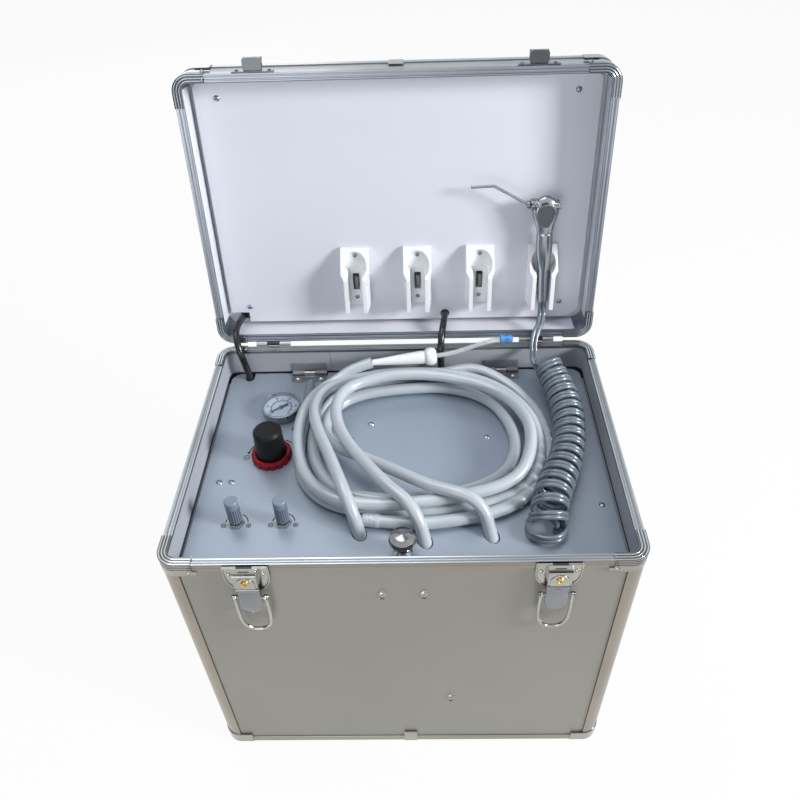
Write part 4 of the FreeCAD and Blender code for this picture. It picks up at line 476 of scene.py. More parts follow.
# name: low and high tint, roughness, grain, depth, coat, edge, shine
PLASTICS = {
    "hose_pvc": ((0.44, 0.49, 0.53), (0.53, 0.58, 0.62), 0.24, 900, 0.00002, 0.6),
    "curly_pvc": ((0.11, 0.145, 0.18), (0.165, 0.205, 0.245), 0.24, 900, 0.00002, 0.6),
    "black_tube_pu": ((0.006, 0.007, 0.009), (0.014, 0.016, 0.020), 0.2, 500, 0.00002, 0.2,
        0.0003, 0.35),
    "white_abs": ((0.86, 0.88, 0.91), (0.91, 0.93, 0.95), 0.28, 1400, 0.00001, 0.2, 0.0008),
    "white_handle": ((0.80, 0.82, 0.85), (0.86, 0.88, 0.90), 0.25, 1400, 0.00001, 0.3, 0.0008),
    "tip_blue": ((0.05, 0.22, 0.55), (0.10, 0.34, 0.72), 0.4, 900, 0.00002),
    "knob_black": ((0.003, 0.003, 0.004), (0.008, 0.008, 0.009), 0.36, 1600, 0.00004, 0.0,
        0.0008, 0.22),
    "ring_red": ((0.20, 0.004, 0.012), (0.34, 0.010, 0.024), 0.42, 1500, 0.00003, 0.0, 0.0003,
        0.25),
    "sleeve_grey": ((0.20, 0.235, 0.265), (0.27, 0.30, 0.34), 0.5, 900, 0.00003),
    "dark_plastic": ((0.012, 0.013, 0.015), (0.03, 0.032, 0.035), 0.42, 1500, 0.00003),
    "foot_rubber": ((0.02, 0.02, 0.02), (0.04, 0.04, 0.04), 0.75, 1200, 0.00005),
    "bottle_pe": ((0.55, 0.60, 0.62), (0.66, 0.70, 0.72), 0.35, 700, 0.00003),
    "print_ink": ((0.004, 0.004, 0.006), (0.010, 0.011, 0.014), 0.5, 1500, 0.00001, 0.0, 0.0003,
        0.2),
    "dial_paper": ((0.44, 0.54, 0.68), (0.58, 0.67, 0.80), 0.45, 900, 0.00001, 0.2),
    "lever_grey": ((0.17, 0.175, 0.17), (0.26, 0.265, 0.26), 0.4, 1400, 0.00002)}
for name, numbers in PLASTICS.items():
    plastic(name, *numbers)
print("plastics:", len(PLASTICS))

ribbed = Finish("knob_grey")
from_middle = ribbed.vector("SUBTRACT", ribbed.place, KNOB_MIDDLE)
around = ribbed.math("ARCTAN2", from_middle[1], abs(from_middle[0]) - KNOB_APART)
ribs = wave(ribbed, around, 2 * math.pi / KNOB_RIBS)
tall = between(ribbed.place[2], 0.3085, 0.3262)
cloud = noise(ribbed, 60.0)
plain = cloud.blend((0.16, 0.20, 0.28), (0.24, 0.29, 0.38))
# The tint darkens to near black between the ribs: painted shade in the grooves.
close(ribbed, ((1 - ribs) * tall * 0.8).blend(plain, (0.03, 0.04, 0.06)), 0.3 + cloud * 0.1,
      {"Coat Weight": 0.3}, bump(ribbed, ribs * tall, 0.0003, 0.0003))
glass = Finish("clear_glass")
smear = noise(glass, 60.0, 3.0)
close(glass, (0.85, 0.90, 0.94), 0.03 + smear * 0.06,
      {"Alpha": 0.02 + smear * 0.04, "Coat Weight": 1.0})
tube_finish = Finish("clear_tube")
cloud = noise(tube_finish, 120.0)
close(tube_finish, cloud.blend((0.62, 0.66, 0.70), (0.78, 0.81, 0.84)), 0.16 + cloud * 0.1,
      {"Alpha": 0.42 + cloud * 0.12, "Coat Weight": 0.4})
print("finishes:", len(FINISHES))

# %% [markdown]
# ## Dress the CAD nodes
# A CAD part whose shape is right keeps its mesh and only changes its material. Assigning by
# hand could miss one, so a list pairs each finish with its nodes. Nodes that a later cell
# replaces aren't dressed.

# %% Dress the CAD nodes
DRESS = {
    "wall_skin": "case_panels", "lid_board": "lid_panels", "case_edge": "case_rails",
    "lid_edge": "lid_rails", "case_cap": "case_fittings", "lid_cap": "lid_fittings",
    "polished_chrome": "carry_handle valve_bodies", "gauge_steel": "gauge_case",
    "lever_steel": "lift_knob", "support_paint": "deck_supports",
    "zinc_plate": "case_hinges deck_fittings pump tube_unions", "syringe_chrome": "nozzle",
    "satin_steel": "air_button water_button", "lining_felt": "case_lining",
    "deck_paint": "deck_plate", "panel_coat": "tool_panel", "white_abs": "tool_holders",
    "dark_plastic": "lid_valves valve_lever_1 valve_lever_2 valve_lever_3 valve_lever_4 "
                    "power_inlet power_switch",
    "clear_glass": "gauge_glass", "foot_rubber": "pump_feet", "bottle_pe": "bottles bottle_tray",
    "knob_black": "regulator_knob", "ring_red": "regulator_ring",
    "knob_grey": "water_knob_left water_knob_right", "sleeve_grey": "hose_glands hose_coupling"}
for finish, names in DRESS.items():
    for name in names.split():
        for slot in nodes[name].material_slots:
            slot.material = FINISHES[finish]
print("dressed:", sum(len(names.split()) for names in DRESS.values()))

# %% [markdown]
# ## Mesh helpers
# Most small parts are turned: `turned` spins (radius, height) pairs, in millimetres, about an
# axis. A Screw modifier would do the same, but plain rings are easy to read. `swept` runs a
# circle along a line and carries a side direction with it, so a tube never twists.

# %% Mesh helpers
DECK_TOP = 0.302
UP = Vector((0, 0, 1))
RIGHTWARDS = Vector((1, 0, 0))


def mm(x, y, z):
    """Point from millimetres."""
    return Vector((x, y, z)) * MM


def mesh_of(points, faces):
    mesh = bpy.data.meshes.new("mesh")
    mesh.from_pydata(points, [], faces)
    mesh.validate()
    return mesh


def joined(meshes):
    """One mesh from several."""
    bm = bmesh.new()
    for mesh in meshes:
        bm.from_mesh(mesh)
        bpy.data.meshes.remove(mesh)
    mesh = bpy.data.meshes.new("mesh")
    bm.to_mesh(mesh)
    bm.free()
    return mesh


def piece(name, shape, finish, body=None, sharp=35):
    """Object from a mesh or a list of meshes, in a finish, riding on a CAD body."""
    mesh = joined(shape) if isinstance(shape, list) else shape
    mesh.name = name
    mesh.materials.append(FINISHES[finish])
    mesh.polygons.foreach_set("use_smooth", [True] * len(mesh.polygons))
    mesh.set_sharp_from_angle(angle=math.radians(sharp))
    obj = added(name, mesh)
    if body:
        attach(obj, body)
    return obj


def ringed_mesh(rings, closed=False):
    """Skin over rings of the same number of points, capped unless the rings close."""
    sides = len(rings[0])
    points = [point for ring in rings for point in ring]
    faces = []
    for i in range(len(rings) if closed else len(rings) - 1):
        here = i * sides
        beyond = (i + 1) % len(rings) * sides
        for j in range(sides):
            k = (j + 1) % sides
            faces.append((here + j, here + k, beyond + k, beyond + j))
    if not closed:
        faces.append(tuple(reversed(range(sides))))
        faces.append(tuple(range(len(points) - sides, len(points))))
    return mesh_of(points, faces)


def circle(centre, side, other, radius, sides):
    """Ring of points round a centre."""
    angles = [2 * math.pi * j / sides for j in range(sides)]
    return [centre + (side * math.cos(a) + other * math.sin(a)) * radius for a in angles]


def side_of(direction):
    """Any direction square to this one."""
    spare = RIGHTWARDS if abs(direction.x) < 0.8 else Vector((0, 1, 0))
    return direction.cross(spare).normalized()


def turned(profile, base, axis=UP, sides=48):
    """Mesh of revolution about an axis that starts at a base."""
    axis = axis.normalized()
    across = side_of(axis)
    along = axis.cross(across)
    return ringed_mesh([
        circle(base + axis * (height * MM), across, along, max(radius * MM, 0.00002), sides)
        for radius, height in profile])


def carried_sides(points, side=None):
    """Two directions square to the line at each point, carried along without twist."""
    side = side or side_of((points[1] - points[0]).normalized())
    sides = []
    for i in range(len(points)):
        heading = (points[min(i + 1, len(points) - 1)] - points[max(i - 1, 0)]).normalized()
        side = (side - heading * side.dot(heading)).normalized()
        sides.append((side, heading.cross(side)))
    return sides


def swept(points, radius, sides=16, offset=0.0):
    """Round tube along a line, or beside it by an offset."""
    return ringed_mesh([circle(point + side * offset, side, other, radius, sides)
                        for point, (side, other) in zip(points, carried_sides(points))])


# %% [markdown]
# ## Flat shapes and bores
# Pressed plates start as a flat outline, which `prism` moves along a vector. `bored` takes
# one mesh out of another with an exact boolean; pushing faces in would leave rougher rims.

# %% Flat shapes and bores
def outward(mesh):
    """Turn every face of a closed mesh to the outside."""
    bm = bmesh.new()
    bm.from_mesh(mesh)
    bmesh.ops.recalc_face_normals(bm, faces=bm.faces)
    bm.to_mesh(mesh)
    bm.free()
    return mesh


def prism(outline, rise):
    """Solid that a flat outline sweeps along a vector."""
    count = len(outline)
    faces = [tuple(reversed(range(count))), tuple(range(count, 2 * count))]
    for i in range(count):
        k = (i + 1) % count
        faces.append((i, k, count + k, count + i))
    return outward(mesh_of(outline + [point + rise for point in outline], faces))


def bored(mesh, tool):
    """The first mesh less the second."""
    block = added("block", outward(mesh))
    drill = added("drill", outward(tool))
    cut = block.modifiers.new("bore", "BOOLEAN")
    cut.object = drill
    cut.operation = "DIFFERENCE"
    cut.solver = "EXACT"
    view = bpy.context.evaluated_depsgraph_get()
    result = bpy.data.meshes.new_from_object(block.evaluated_get(view))
    for obj in (block, drill):
        bpy.data.objects.remove(obj)
    return result


def bar(start, end, radius, sides=20):
    """Straight round bar; its radius is in millimetres."""
    return swept([start, end], radius * MM, sides)


# %% [markdown]
# ## Routes
# A hose's line is a NURBS spline whose points are listed in millimetres above the
# deck; a Bezier would need two handles at each. Tubes that must bend are swept along such a
# line.

# %% Route helpers
def on_deck(points):
    """Route in metres from (x, y, height above the deck) in millimetres."""
    return [Vector((x * MM, y * MM, DECK_TOP + height * MM)) for x, y, height in points]


def route_curve(name, points, steps=10):
    curve = bpy.data.curves.new(name, "CURVE")
    curve.dimensions = "3D"
    curve.resolution_u = steps
    spline = curve.splines.new("NURBS")
    spline.points.add(len(points) - 1)
    for spot, point in zip(spline.points, points):
        spot.co = (*point, 1)
    spline.order_u = 3
    spline.use_endpoint_u = True
    spline.resolution_u = steps
    return curve


def line_of(points, steps=10):
    """Points along the smooth spline of a route."""
    obj = bpy.data.objects.new("line", route_curve("line", points, steps))
    mesh = bpy.data.meshes.new_from_object(obj)
    bpy.data.objects.remove(obj)
    return [vertex.co.copy() for vertex in mesh.vertices]


def length_of(line):
    return sum((b - a).length for a, b in zip(line, line[1:]))


# %% [markdown]
# ## The three hoses
# They rise from sockets, arch over each other and lie wound in an oval ring. A rope
# simulation would wind them differently each time, so each is one bevelled curve whose points
# keep it a diameter clear of its neighbours.

# %% Hoses
HOSE_R = 6 * MM
LEFT_HOSE = [
    (-38, -92, -6), (-41, -85.5, 5), (-46, -77.5, 19.5), (-52, -66, 29), (-59.5, -47.5, 31),
    (-71, -18, 30.5), (-82.5, 10.5, 27), (-90.5, 35, 23.5), (-93, 60, 21), (-86, 84, 19.5),
    (-64, 99.5, 17.5), (-26, 110, 18), (20.5, 112, 18), (62.5, 106, 18), (101.5, 85, 18),
    (128.5, 48.5, 17), (136, 8, 15.5), (126.5, -33, 11), (104.5, -50.5, 7.5), (71, -63, 6.5),
    (29.5, -68.5, 6.5), (-8, -69.5, 6.5), (-45, -67, 6.5), (-75.5, -55.5, 6.5),
    (-95.5, -32.5, 6.5), (-104, -6, 6.5), (-105.5, 27, 6.5), (-104, 43, 6.5),
    (-103.5, 67.5, 6.5)]
MIDDLE_HOSE = [
    (21, -101, -6), (18, -93, 6.5), (12.5, -84, 20.5), (3, -73.5, 29.5), (-13.5, -58.5, 30.5),
    (-34, -32.5, 30.5), (-55, -2.5, 30), (-68.5, 30, 29.5), (-69, 61, 28.5), (-53.5, 85, 27),
    (-9.5, 101.5, 25.5), (45.5, 97.5, 25), (96, 75, 26), (121.5, 38, 28), (126, 2, 29),
    (114.5, -34.5, 22), (92, -50.5, 18.5), (52.5, -61.5, 18), (9.5, -68.5, 18),
    (-30.5, -70, 18), (-67.5, -62.5, 17.5), (-94, -35, 18), (-105, 0.5, 18.5),
    (-106.5, 32, 18.5), (-103, 63, 17), (-91, 87, 16), (-71, 102, 19), (-58, 110, 25.5),
    (-35, 114, 31)]
RIGHT_HOSE = [
    (81, -96, -6), (77.5, -88, 5), (74, -80, 18.5), (62.5, -71.5, 29), (45.5, -65.5, 30.5),
    (23, -55.5, 27.5), (-8.5, -34, 24.5), (-36.5, -13.5, 18.5), (-61, 1.5, 15.5),
    (-77.5, 19, 12), (-82, 44.5, 8.5), (-72, 73.5, 6.5), (-47, 90, 6.5), (-7, 97.5, 6.5),
    (50, 100, 6.5), (92, 79, 6.5), (110, 41.5, 6.5), (113, 7.5, 6.5), (100, -23.5, 6.5),
    (69.5, -43, 6.5), (26, -54, 6.5), (-27, -55.5, 6.5), (-64, -44.5, 6.5), (-86, -14.5, 6.5),
    (-93.5, 19.5, 6.5), (-90.5, 56.5, 6.5), (-75.5, 90, 6.5), (-47.5, 107, 6.5),
    (1, 114.5, 6.5), (43, 118, 11), (78, 121.5, 16.5), (113.5, 98, 10.5), (136, 66, 7),
    (143, 34, 6.5), (143.5, 2, 6.5), (132, -31, 6.5), (111, -57.5, 6.5), (81.5, -73, 6.5),
    (41, -80.5, 6.5), (10, -83.5, 6.5), (-25, -79, 6.5)]


def hose(name, points):
    """Bevelled curve along a route on the deck."""
    curve = route_curve(name, on_deck(points))
    curve.bevel_depth = HOSE_R
    curve.bevel_resolution = 8
    curve.use_fill_caps = True
    curve.materials.append(FINISHES["hose_pvc"])
    obj = added(name, curve)
    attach(obj, "deck")
    print(name, round(length_of(line_of(on_deck(points))), 3), "m")
    return obj


left_hose = hose("hose_left_full", LEFT_HOSE)
middle_hose = hose("hose_middle_full", MIDDLE_HOSE)
right_hose = hose("hose_right_full", RIGHT_HOSE)
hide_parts("hose_left", "hose_tails")
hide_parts("hose_middle", "hose_coil")
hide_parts("hose_right")

# %% [markdown]
# ## Suction handle
# One smooth moulding swells from the hose to a waist and ends in a rounded bead with a deep
# mouth. A few cones would show their joints, so a turned profile of many stations gives the
# flow.

# %% Suction handle
HANDLE_START, HANDLE_END = on_deck([(-35, 114, 30.8), (35, 120.5, 33.5)])
HANDLE_RUN = (HANDLE_END - HANDLE_START).normalized()
HANDLE_PROFILE = [
    (2.5, 6), (2.5, 0.3), (2.8, 0), (3.2, 0.2), (3.3, 1), (3.5, 4), (3.9, 9), (4.5, 16),
    (5.2, 24), (5.9, 33), (6.6, 43), (7.1, 51), (7.3, 56), (7.2, 57), (7.0, 57.6), (7.1, 58.2),
    (8.3, 58.7), (9.1, 60), (9.6, 62), (9.75, 64), (9.6, 66), (9.0, 68), (7.8, 69.6),
    (6.4, 70.3), (4.6, 70.5), (3.3, 70), (3.0, 68.5), (3.0, 58)]
handle = piece("suction_handle_moulding", turned(HANDLE_PROFILE, HANDLE_START, HANDLE_RUN, 64),
               "white_handle", "deck", 60)
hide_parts("suction_handle")
print("handle:", round((HANDLE_END - HANDLE_START).length, 4), "m long")

# %% [markdown]
# ## Hose connector
# The right hose ends in a push-on connector. A bevelled curve could only give a plain tube,
# so it is turned: a grip collar with two grooves, then a narrower nose.

# %% Hose connector
CONNECTOR = [(0, -4), (6.0, -4), (6.4, -3.4), (6.4, 1), (6.1, 1.4), (6.4, 1.8), (6.4, 6),
             (6.1, 6.4), (6.4, 6.8), (6.4, 11), (5.8, 12.2), (4.5, 12.7), (4.5, 16.5),
             (3.8, 17.5), (0, 17.5)]
before, connector_start = on_deck([(10, -83.5, 6.5), (-25, -79, 6.5)])
connector = piece("hose_right_connector",
                  turned(CONNECTOR, connector_start, connector_start - before), "hose_pvc", "deck")
print("connector:", len(CONNECTOR), "profile points")
on_deck([(-40, -88, 0)])[0]
on_deck([(19.5, -97, 0)])[0]
on_deck([(79.5, -92, 0)])[0]

# %% [markdown]
# ## Curly cord
# Two thin tubes, moulded side by side, make one flat turn at their gland and then a spring
# along the right wall. A Screw modifier could only wind it straight, so a loop winds a helix
# round a NURBS route, and a change of the route carries the turns along.

# %% Curly cord
COIL_AXIS = [(128.6, -88, -4), (128.6, -88, 2), (128.8, -87.5, 6), (130.5, -83, 12),
             (133, -70, 16.8), (138, -56, 17), (146, -38, 17), (156, -16, 17), (163.5, 10, 17),
             (167, 40, 17), (166, 67, 17.5), (161, 91, 20), (153.5, 113, 29)]
RISE_END = 5.5 * MM
FLAT_END = 9.5 * MM
FLAT_PITCH = 3.6 * MM
GLAND_REACH = 9.4 * MM
FLAT_R = 17.0 * MM
BODY_R = 14.6 * MM
BODY_SWELL = 0.7 * MM
TAPER_START = 0.84
TAPER = 0.14
COIL_TURNS = 18.55
STEPS_PER_TURN = 36
TWIN_TUBE_R = 2.25 * MM
TWIN_OFFSET = 2.1 * MM


def clamped(value):
    return min(max(value, 0.0), 1.0)


def coil_radius(share, turns):
    """Distance of the cord's line from the axis, by share of the axis and turns made."""
    flat = GLAND_REACH + (FLAT_R - GLAND_REACH) * clamped(turns / 0.25)
    body = BODY_R + BODY_SWELL * math.sin(9.0 * share)
    ease = clamped(turns - 1.0)
    end = clamped((share - TAPER_START) / (1 - TAPER_START))
    return (flat * (1 - ease) + body * ease) * (1 - TAPER * end)


axis_line = line_of(on_deck(COIL_AXIS), 24)
axis_sides = carried_sides(axis_line, RIGHTWARDS)
axis_total = length_of(axis_line)
flat_turns = (FLAT_END - RISE_END) / FLAT_PITCH
coil_pitch = (axis_total - FLAT_END) / (COIL_TURNS - flat_turns)


def on_axis(travel):
    """Point and two side directions at a distance along the axis."""
    for i in range(len(axis_line) - 1):
        step = (axis_line[i + 1] - axis_line[i]).length
        if travel <= step or i == len(axis_line) - 2:
            share = min(travel / step, 1.0)
            side, other = [a.lerp(b, share).normalized()
                           for a, b in zip(axis_sides[i], axis_sides[i + 1])]
            return axis_line[i].lerp(axis_line[i + 1], share), side, other
        travel -= step


def wound_pair(line, flats):
    """Two tubes beside a line, on the sides that the flats point to."""
    return [swept([point + flat * side * TWIN_OFFSET for point, flat in zip(line, flats)],
                  TWIN_TUBE_R, 12) for side in (-1, 1)]


coil_line = []
coil_flat = []
travel = 0.0
turns = 0.0
while travel < axis_total:
    point, side, other = on_axis(travel)
    angle = 2 * math.pi * turns
    reach = coil_radius(travel / axis_total, turns)
    coil_line.append(point + (side * math.cos(angle) + other * math.sin(angle)) * reach)
    coil_flat.append(side.cross(other))
    if travel < RISE_END:
        travel += 1.0 * MM
        continue
    pitch = FLAT_PITCH if travel < FLAT_END else coil_pitch
    travel += pitch / STEPS_PER_TURN
    turns += 1 / STEPS_PER_TURN
print("curly cord:", round(turns, 1), "turns,", round(length_of(coil_line), 3), "m")
curly = piece("curly_cord", wound_pair(coil_line, coil_flat), "curly_pvc")
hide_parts("curly_coil", "curly_turn")
on_deck([(137.5, -88, 0)])[0]
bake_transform(curly)

# %% [markdown]
# ## Places in the open lid
# The lid's small parts could be built shut and turned as objects. Instead, functions map a
# spot on the tool panel, by its height above the hinge side and its distance out of the
# panel, to the room, so every outline is written where it ends up.

# %% Lid and syringe places
LID_AXIS = Vector(LID_HINGE)
LID_TURN = Quaternion((1, 0, 0), -LID_OPEN)
WALL_OUT = 142.5
PANEL_HEIGHT = 365.0
SYRINGE_X = 150.0
SYRINGE_OUT = 14.5
SYRINGE_LEAN = math.radians(-2.3)
LEAN_HEIGHT = 83.0


def swing_open(closed):
    """Where a point of the closed lid, in millimetres, is when the lid is open."""
    return LID_AXIS + LID_TURN @ (closed * MM - LID_AXIS)


def lid_place(x, height, out):
    return swing_open(Vector((x, WALL_OUT - height, PANEL_HEIGHT - out)))


def syringe_place(height, out=0.0, side=0.0):
    """Place on the leaning syringe by height along it, out of the panel, and to the right."""
    pivot = Vector((SYRINGE_X, WALL_OUT - LEAN_HEIGHT, PANEL_HEIGHT - SYRINGE_OUT))
    spot = Vector((SYRINGE_X + side, WALL_OUT - height, PANEL_HEIGHT - SYRINGE_OUT - out))
    lean = Quaternion((0, 0, 1), SYRINGE_LEAN)
    return swing_open(pivot + lean @ (spot - pivot))


LID_OUT = (lid_place(0, 0, 1) - lid_place(0, 0, 0)).normalized()
LID_UP = (lid_place(0, 1, 0) - lid_place(0, 0, 0)).normalized()
print("the lid faces", [round(value, 3) for value in LID_OUT])

# %% [markdown]
# ## Lead to the syringe
# The cord climbs over both rims to the syringe. One stiff piece would tear when the lid
# closes, so the lead is made in two pieces, parted above the rims: one from the coil, and a
# short last stretch up to the syringe, which slides.

# %% Syringe lead
TURNED_BY = 0.3
SPLIT_HEIGHT = 0.357
coil_end = coil_line[-1]
coil_way = (coil_line[-1] - coil_line[-4]).normalized()
lead_route = [coil_end, coil_end + coil_way * 0.010, mm(141.5, 123.5, 333), mm(140.5, 130, 342),
              mm(144, 139.5, 351), mm(150.5, 150.5, 356), syringe_place(25), syringe_place(40)]
lead_line = line_of(lead_route, 16)
split = next(i for i, point in enumerate(lead_line) if point.z > SPLIT_HEIGHT)
lead_flats = []
for i, (side, other) in enumerate(carried_sides(lead_line, coil_flat[-1])):
    share = min(i / (TURNED_BY * len(lead_line)), 1.0)
    heading = side.cross(other)
    front = RIGHTWARDS - heading * heading.x
    front = front if front.dot(side) > 0 else -front
    lead_flats.append(side.lerp(front.normalized(), share).normalized())
lead = piece("curly_lead_lower", wound_pair(lead_line[:split + 1], lead_flats[:split + 1]),
             "curly_pvc")
lead_end = piece("curly_lead_upper", wound_pair(lead_line[split:], lead_flats[split:]), "curly_pvc")
print("lead:", [round(length_of(part), 4) for part in (lead_line[:split + 1], lead_line[split:])])
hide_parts("curly_lead")
lead_line[:split + 1]
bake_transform(lead)
tuple(lead_line[split])
tuple(syringe_place(37))
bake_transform(lead_end)

# %% [markdown]
# ## Black supply tubes
# Two glossy tubes rise from the rear wall, cross the hinge line and go in behind the tool
# panel. A curve can't bend with a lid; they are swept meshes.

# %% Black tubes
BLACK_TUBE_R = 3.75 * MM
TUBES = {
    "black_tube_left": [
        lid_place(-182, 16.5, -2.6), lid_place(-183.5, 17.5, 9), mm(-186, 151, 355),
        mm(-185, 139.5, 351), mm(-181.5, 130, 341.5), mm(-178, 126, 328),
        mm(-175.6, 126, 314), mm(-175, 126.5, 300), mm(-175, 126.5, 286)],
    "black_tube_centre": [
        lid_place(46, 16.5, -2.6), lid_place(45.5, 17.5, 9), mm(43.5, 151, 355.5),
        mm(41.5, 139.5, 351), mm(40, 130.5, 341.5), mm(40, 126.5, 328), mm(40.6, 126, 314),
        mm(41, 126.5, 300), mm(41, 126.5, 286)]}
for name, route in TUBES.items():
    line = line_of(route, 14)
    tube = piece(name + "_hose", swept(line, BLACK_TUBE_R, 20), "black_tube_pu")
    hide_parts(name)
    print(name, round(length_of(line), 3), "m")
    tuple(route[-1])
    line[::-1]
    route[0].x
    route[0].x
    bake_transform(tube)

# %% [markdown]
# ## Saliva ejector
# Its clear tube holds its bend by a wire inside and ends in a blue slotted tip. Real clear
# plastic refracts, but a see-through skin looks the same at this size and renders fast.

# %% Saliva ejector
TIP = [(0, -1), (4.0, -1), (4.6, -0.4), (4.6, 1.4), (4.0, 2), (4.0, 10.5), (3.4, 12.2),
       (2.0, 13.0), (1.2, 13.0), (1.0, 11.8), (0, 11.6)]
TIP_SLOTS = 6
ejector_mouth = HANDLE_START + HANDLE_RUN * 0.060
ejector_line = line_of([ejector_mouth, HANDLE_END + HANDLE_RUN * 0.010,
                        *on_deck([(66, 124, 39), (84, 126.5, 45), (105, 127.5, 49.8)])], 12)
ejector = piece("ejector_tube_clear", swept(ejector_line, 2.6 * MM, 20), "clear_tube", "deck")
wire = piece("ejector_wire", swept(ejector_line, 0.55 * MM, 8, 1.2 * MM), "satin_steel", "deck")
tip_base = on_deck([(104.8, 127.5, 49.8)])[0]
tip = piece("ejector_tip_blue", turned(TIP, tip_base, RIGHTWARDS), "tip_blue", "deck")
# The slots are dark bars on the tip: painted shade where their depth would be.
slots = []
for i in range(TIP_SLOTS):
    angle = 2 * math.pi * i / TIP_SLOTS + 0.5
    start = tip_base + mm(4.5, 3.6 * math.cos(angle), 3.6 * math.sin(angle))
    slots.append(bar(start, start + mm(4, 0, 0), 0.62, 10))
print("ejector:", round(length_of(ejector_line), 3), "m, slots:", len(slots))
tip_slots = piece("ejector_tip_slot_shade", slots, "dark_plastic", "deck")
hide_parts("ejector_tube")
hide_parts("ejector_tip")

# %% [markdown]
# ## Printing on the deck and the dial
# Printed ink could be a mask in a material, but strips that stand a tenth of a millimetre
# proud stay sharp at any distance and export as plain geometry.

# %% Printing helpers
DECK_FLOOR = DECK_TOP / MM
PRINT_PROUD = 0.12
INK_LIFT = UP * PRINT_PROUD


def strip(points, width, floor=DECK_FLOOR, looped=False):
    """Printed line through (x, y) points on a floor height, all in millimetres."""
    rings = []
    last = len(points) - 1
    for i, (x, y) in enumerate(points):
        before = points[i - 1] if looped or i > 0 else points[0]
        after = points[(i + 1) % len(points)] if looped or i < last else points[last]
        run = Vector((after[0] - before[0], after[1] - before[1], 0)).normalized()
        side = Vector((-run.y, run.x, 0)) * width / 2
        spot = Vector((x, y, floor))
        corners = (spot - side, spot + side, spot + side + INK_LIFT, spot - side + INK_LIFT)
        rings.append([corner * MM for corner in corners])
    return outward(ringed_mesh(rings, looped))


def spoke(x, y, radius, angle):
    """Point at a distance and an angle from a middle."""
    return x + radius * math.cos(angle), y + radius * math.sin(angle)


def arc(x, y, radius, start, end, steps=24):
    """Points of an arc between two angles in degrees."""
    return [spoke(x, y, radius, math.radians(start + (end - start) * i / steps))
            for i in range(steps + 1)]


def figure(text, size, x, y, floor):
    """Flat printed figure centred on a spot."""
    letters = bpy.data.curves.new("figure", "FONT")
    letters.body = text
    letters.size = size * MM
    letters.align_x = letters.align_y = "CENTER"
    letters.extrude = PRINT_PROUD * MM / 2
    stamp = bpy.data.objects.new("figure", letters)
    mesh = bpy.data.meshes.new_from_object(stamp)
    for vertex in mesh.vertices:
        vertex.co += mm(x, y, floor + PRINT_PROUD / 2)
    bpy.data.objects.remove(stamp)
    return mesh


# %% [markdown]
# ## Pressure gauge
# A pale blue dial carries a scale with generic figures and a black needle. A picture of a
# dial would blur close up, so a loop works out ticks and figures together.

# %% Pressure gauge
GAUGE = (-131.5, 72.0)
DIAL_FLOOR = 307.5
DIAL_TOP = DIAL_FLOOR + 0.2
SCALE_R = 10.4
FIGURE_R = 15.2
SCALE_START = 225
SCALE_SWEEP = 270
SMALL_STEPS = 50
NEEDLE_ANGLE = math.radians(215)
DIAL = [(0, 0), (18.7, 0), (18.7, 0.15), (18.6, 0.2), (0, 0.2)]
NEEDLE = [(-8.2, -1.3), (-7.4, -1.6), (-2.0, -1.2), (13.6, -0.4), (14.2, 0), (13.6, 0.4),
          (-2.0, 1.2), (-7.4, 1.6), (-8.2, 1.3)]
HUB = [(0, 0.6), (2.0, 0.6), (2.2, 0.9), (2.2, 1.7), (1.6, 2.2), (0.6, 2.4), (0, 2.4)]
SENSE_LINE = [mm(-111, 73, 303), mm(-108.5, 75, 303.4), mm(-105, 78, 303.2),
              mm(-99.5, 79, 302.9)]
gauge_spot = mm(*GAUGE, DIAL_FLOOR)
piece("gauge_dial", turned(DIAL, gauge_spot, UP, 96), "dial_paper", "deck")
prints = [strip(arc(*GAUGE, SCALE_R, SCALE_START, SCALE_START - SCALE_SWEEP, 60), 0.5, DIAL_TOP)]
for step in range(SMALL_STEPS + 1):
    angle = math.radians(SCALE_START - SCALE_SWEEP * step / SMALL_STEPS)
    reach, width = (11.6, 0.35) if step % 5 else (12.6, 0.7)
    prints.append(strip([spoke(*GAUGE, r, angle) for r in (SCALE_R, reach)], width, DIAL_TOP))
    if step % 10 == 0:
        prints.append(figure(str(step // 5), 4.8, *spoke(*GAUGE, FIGURE_R, angle), DIAL_TOP))
print("scale marks:", len(prints))
piece("gauge_scale", prints, "print_ink", "deck")
needle_turn = Quaternion(UP, NEEDLE_ANGLE)
blade = [gauge_spot + needle_turn @ mm(along, across, 1.1) for along, across in NEEDLE]
needle = piece("gauge_pointer", [prism(blade, mm(0, 0, 0.4)), turned(HUB, gauge_spot)],
               "dark_plastic", "gauge_needle")
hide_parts("gauge_needle")
piece("gauge_sense_line", swept(line_of(SENSE_LINE), 0.55 * MM, 10), "black_tube_pu", "deck")

# %% [markdown]
# ## Marks round the knobs
# Arcs and circled signs show which way each knob opens. Text objects could give the signs,
# but strips match the arcs' weight. Where words would stand the deck is bare.

# %% Marks round the knobs
REGULATOR = (-133, 8)
SWEEP_R = 24.6
WATER_KNOBS_X = (-154.0, -110.6)
WATER_KNOBS_Y = -74.8
WATER_SWEEP_R = 10.4
SIGN_ASIDE = 11.6
SIGN_BELOW = 2.8
CIRCLE_INK = 0.6
SIGN_INK = 0.7
marks = []


def circled(x, y, radius, plus):
    """Small circle with a minus or a plus in it."""
    arm = radius * 0.55
    marks.append(strip(arc(x, y, radius, 0, 345, 23), CIRCLE_INK, looped=True))
    marks.append(strip([(x - arm, y), (x + arm, y)], SIGN_INK))
    if plus:
        marks.append(strip([(x, y - arm), (x, y + arm)], SIGN_INK))


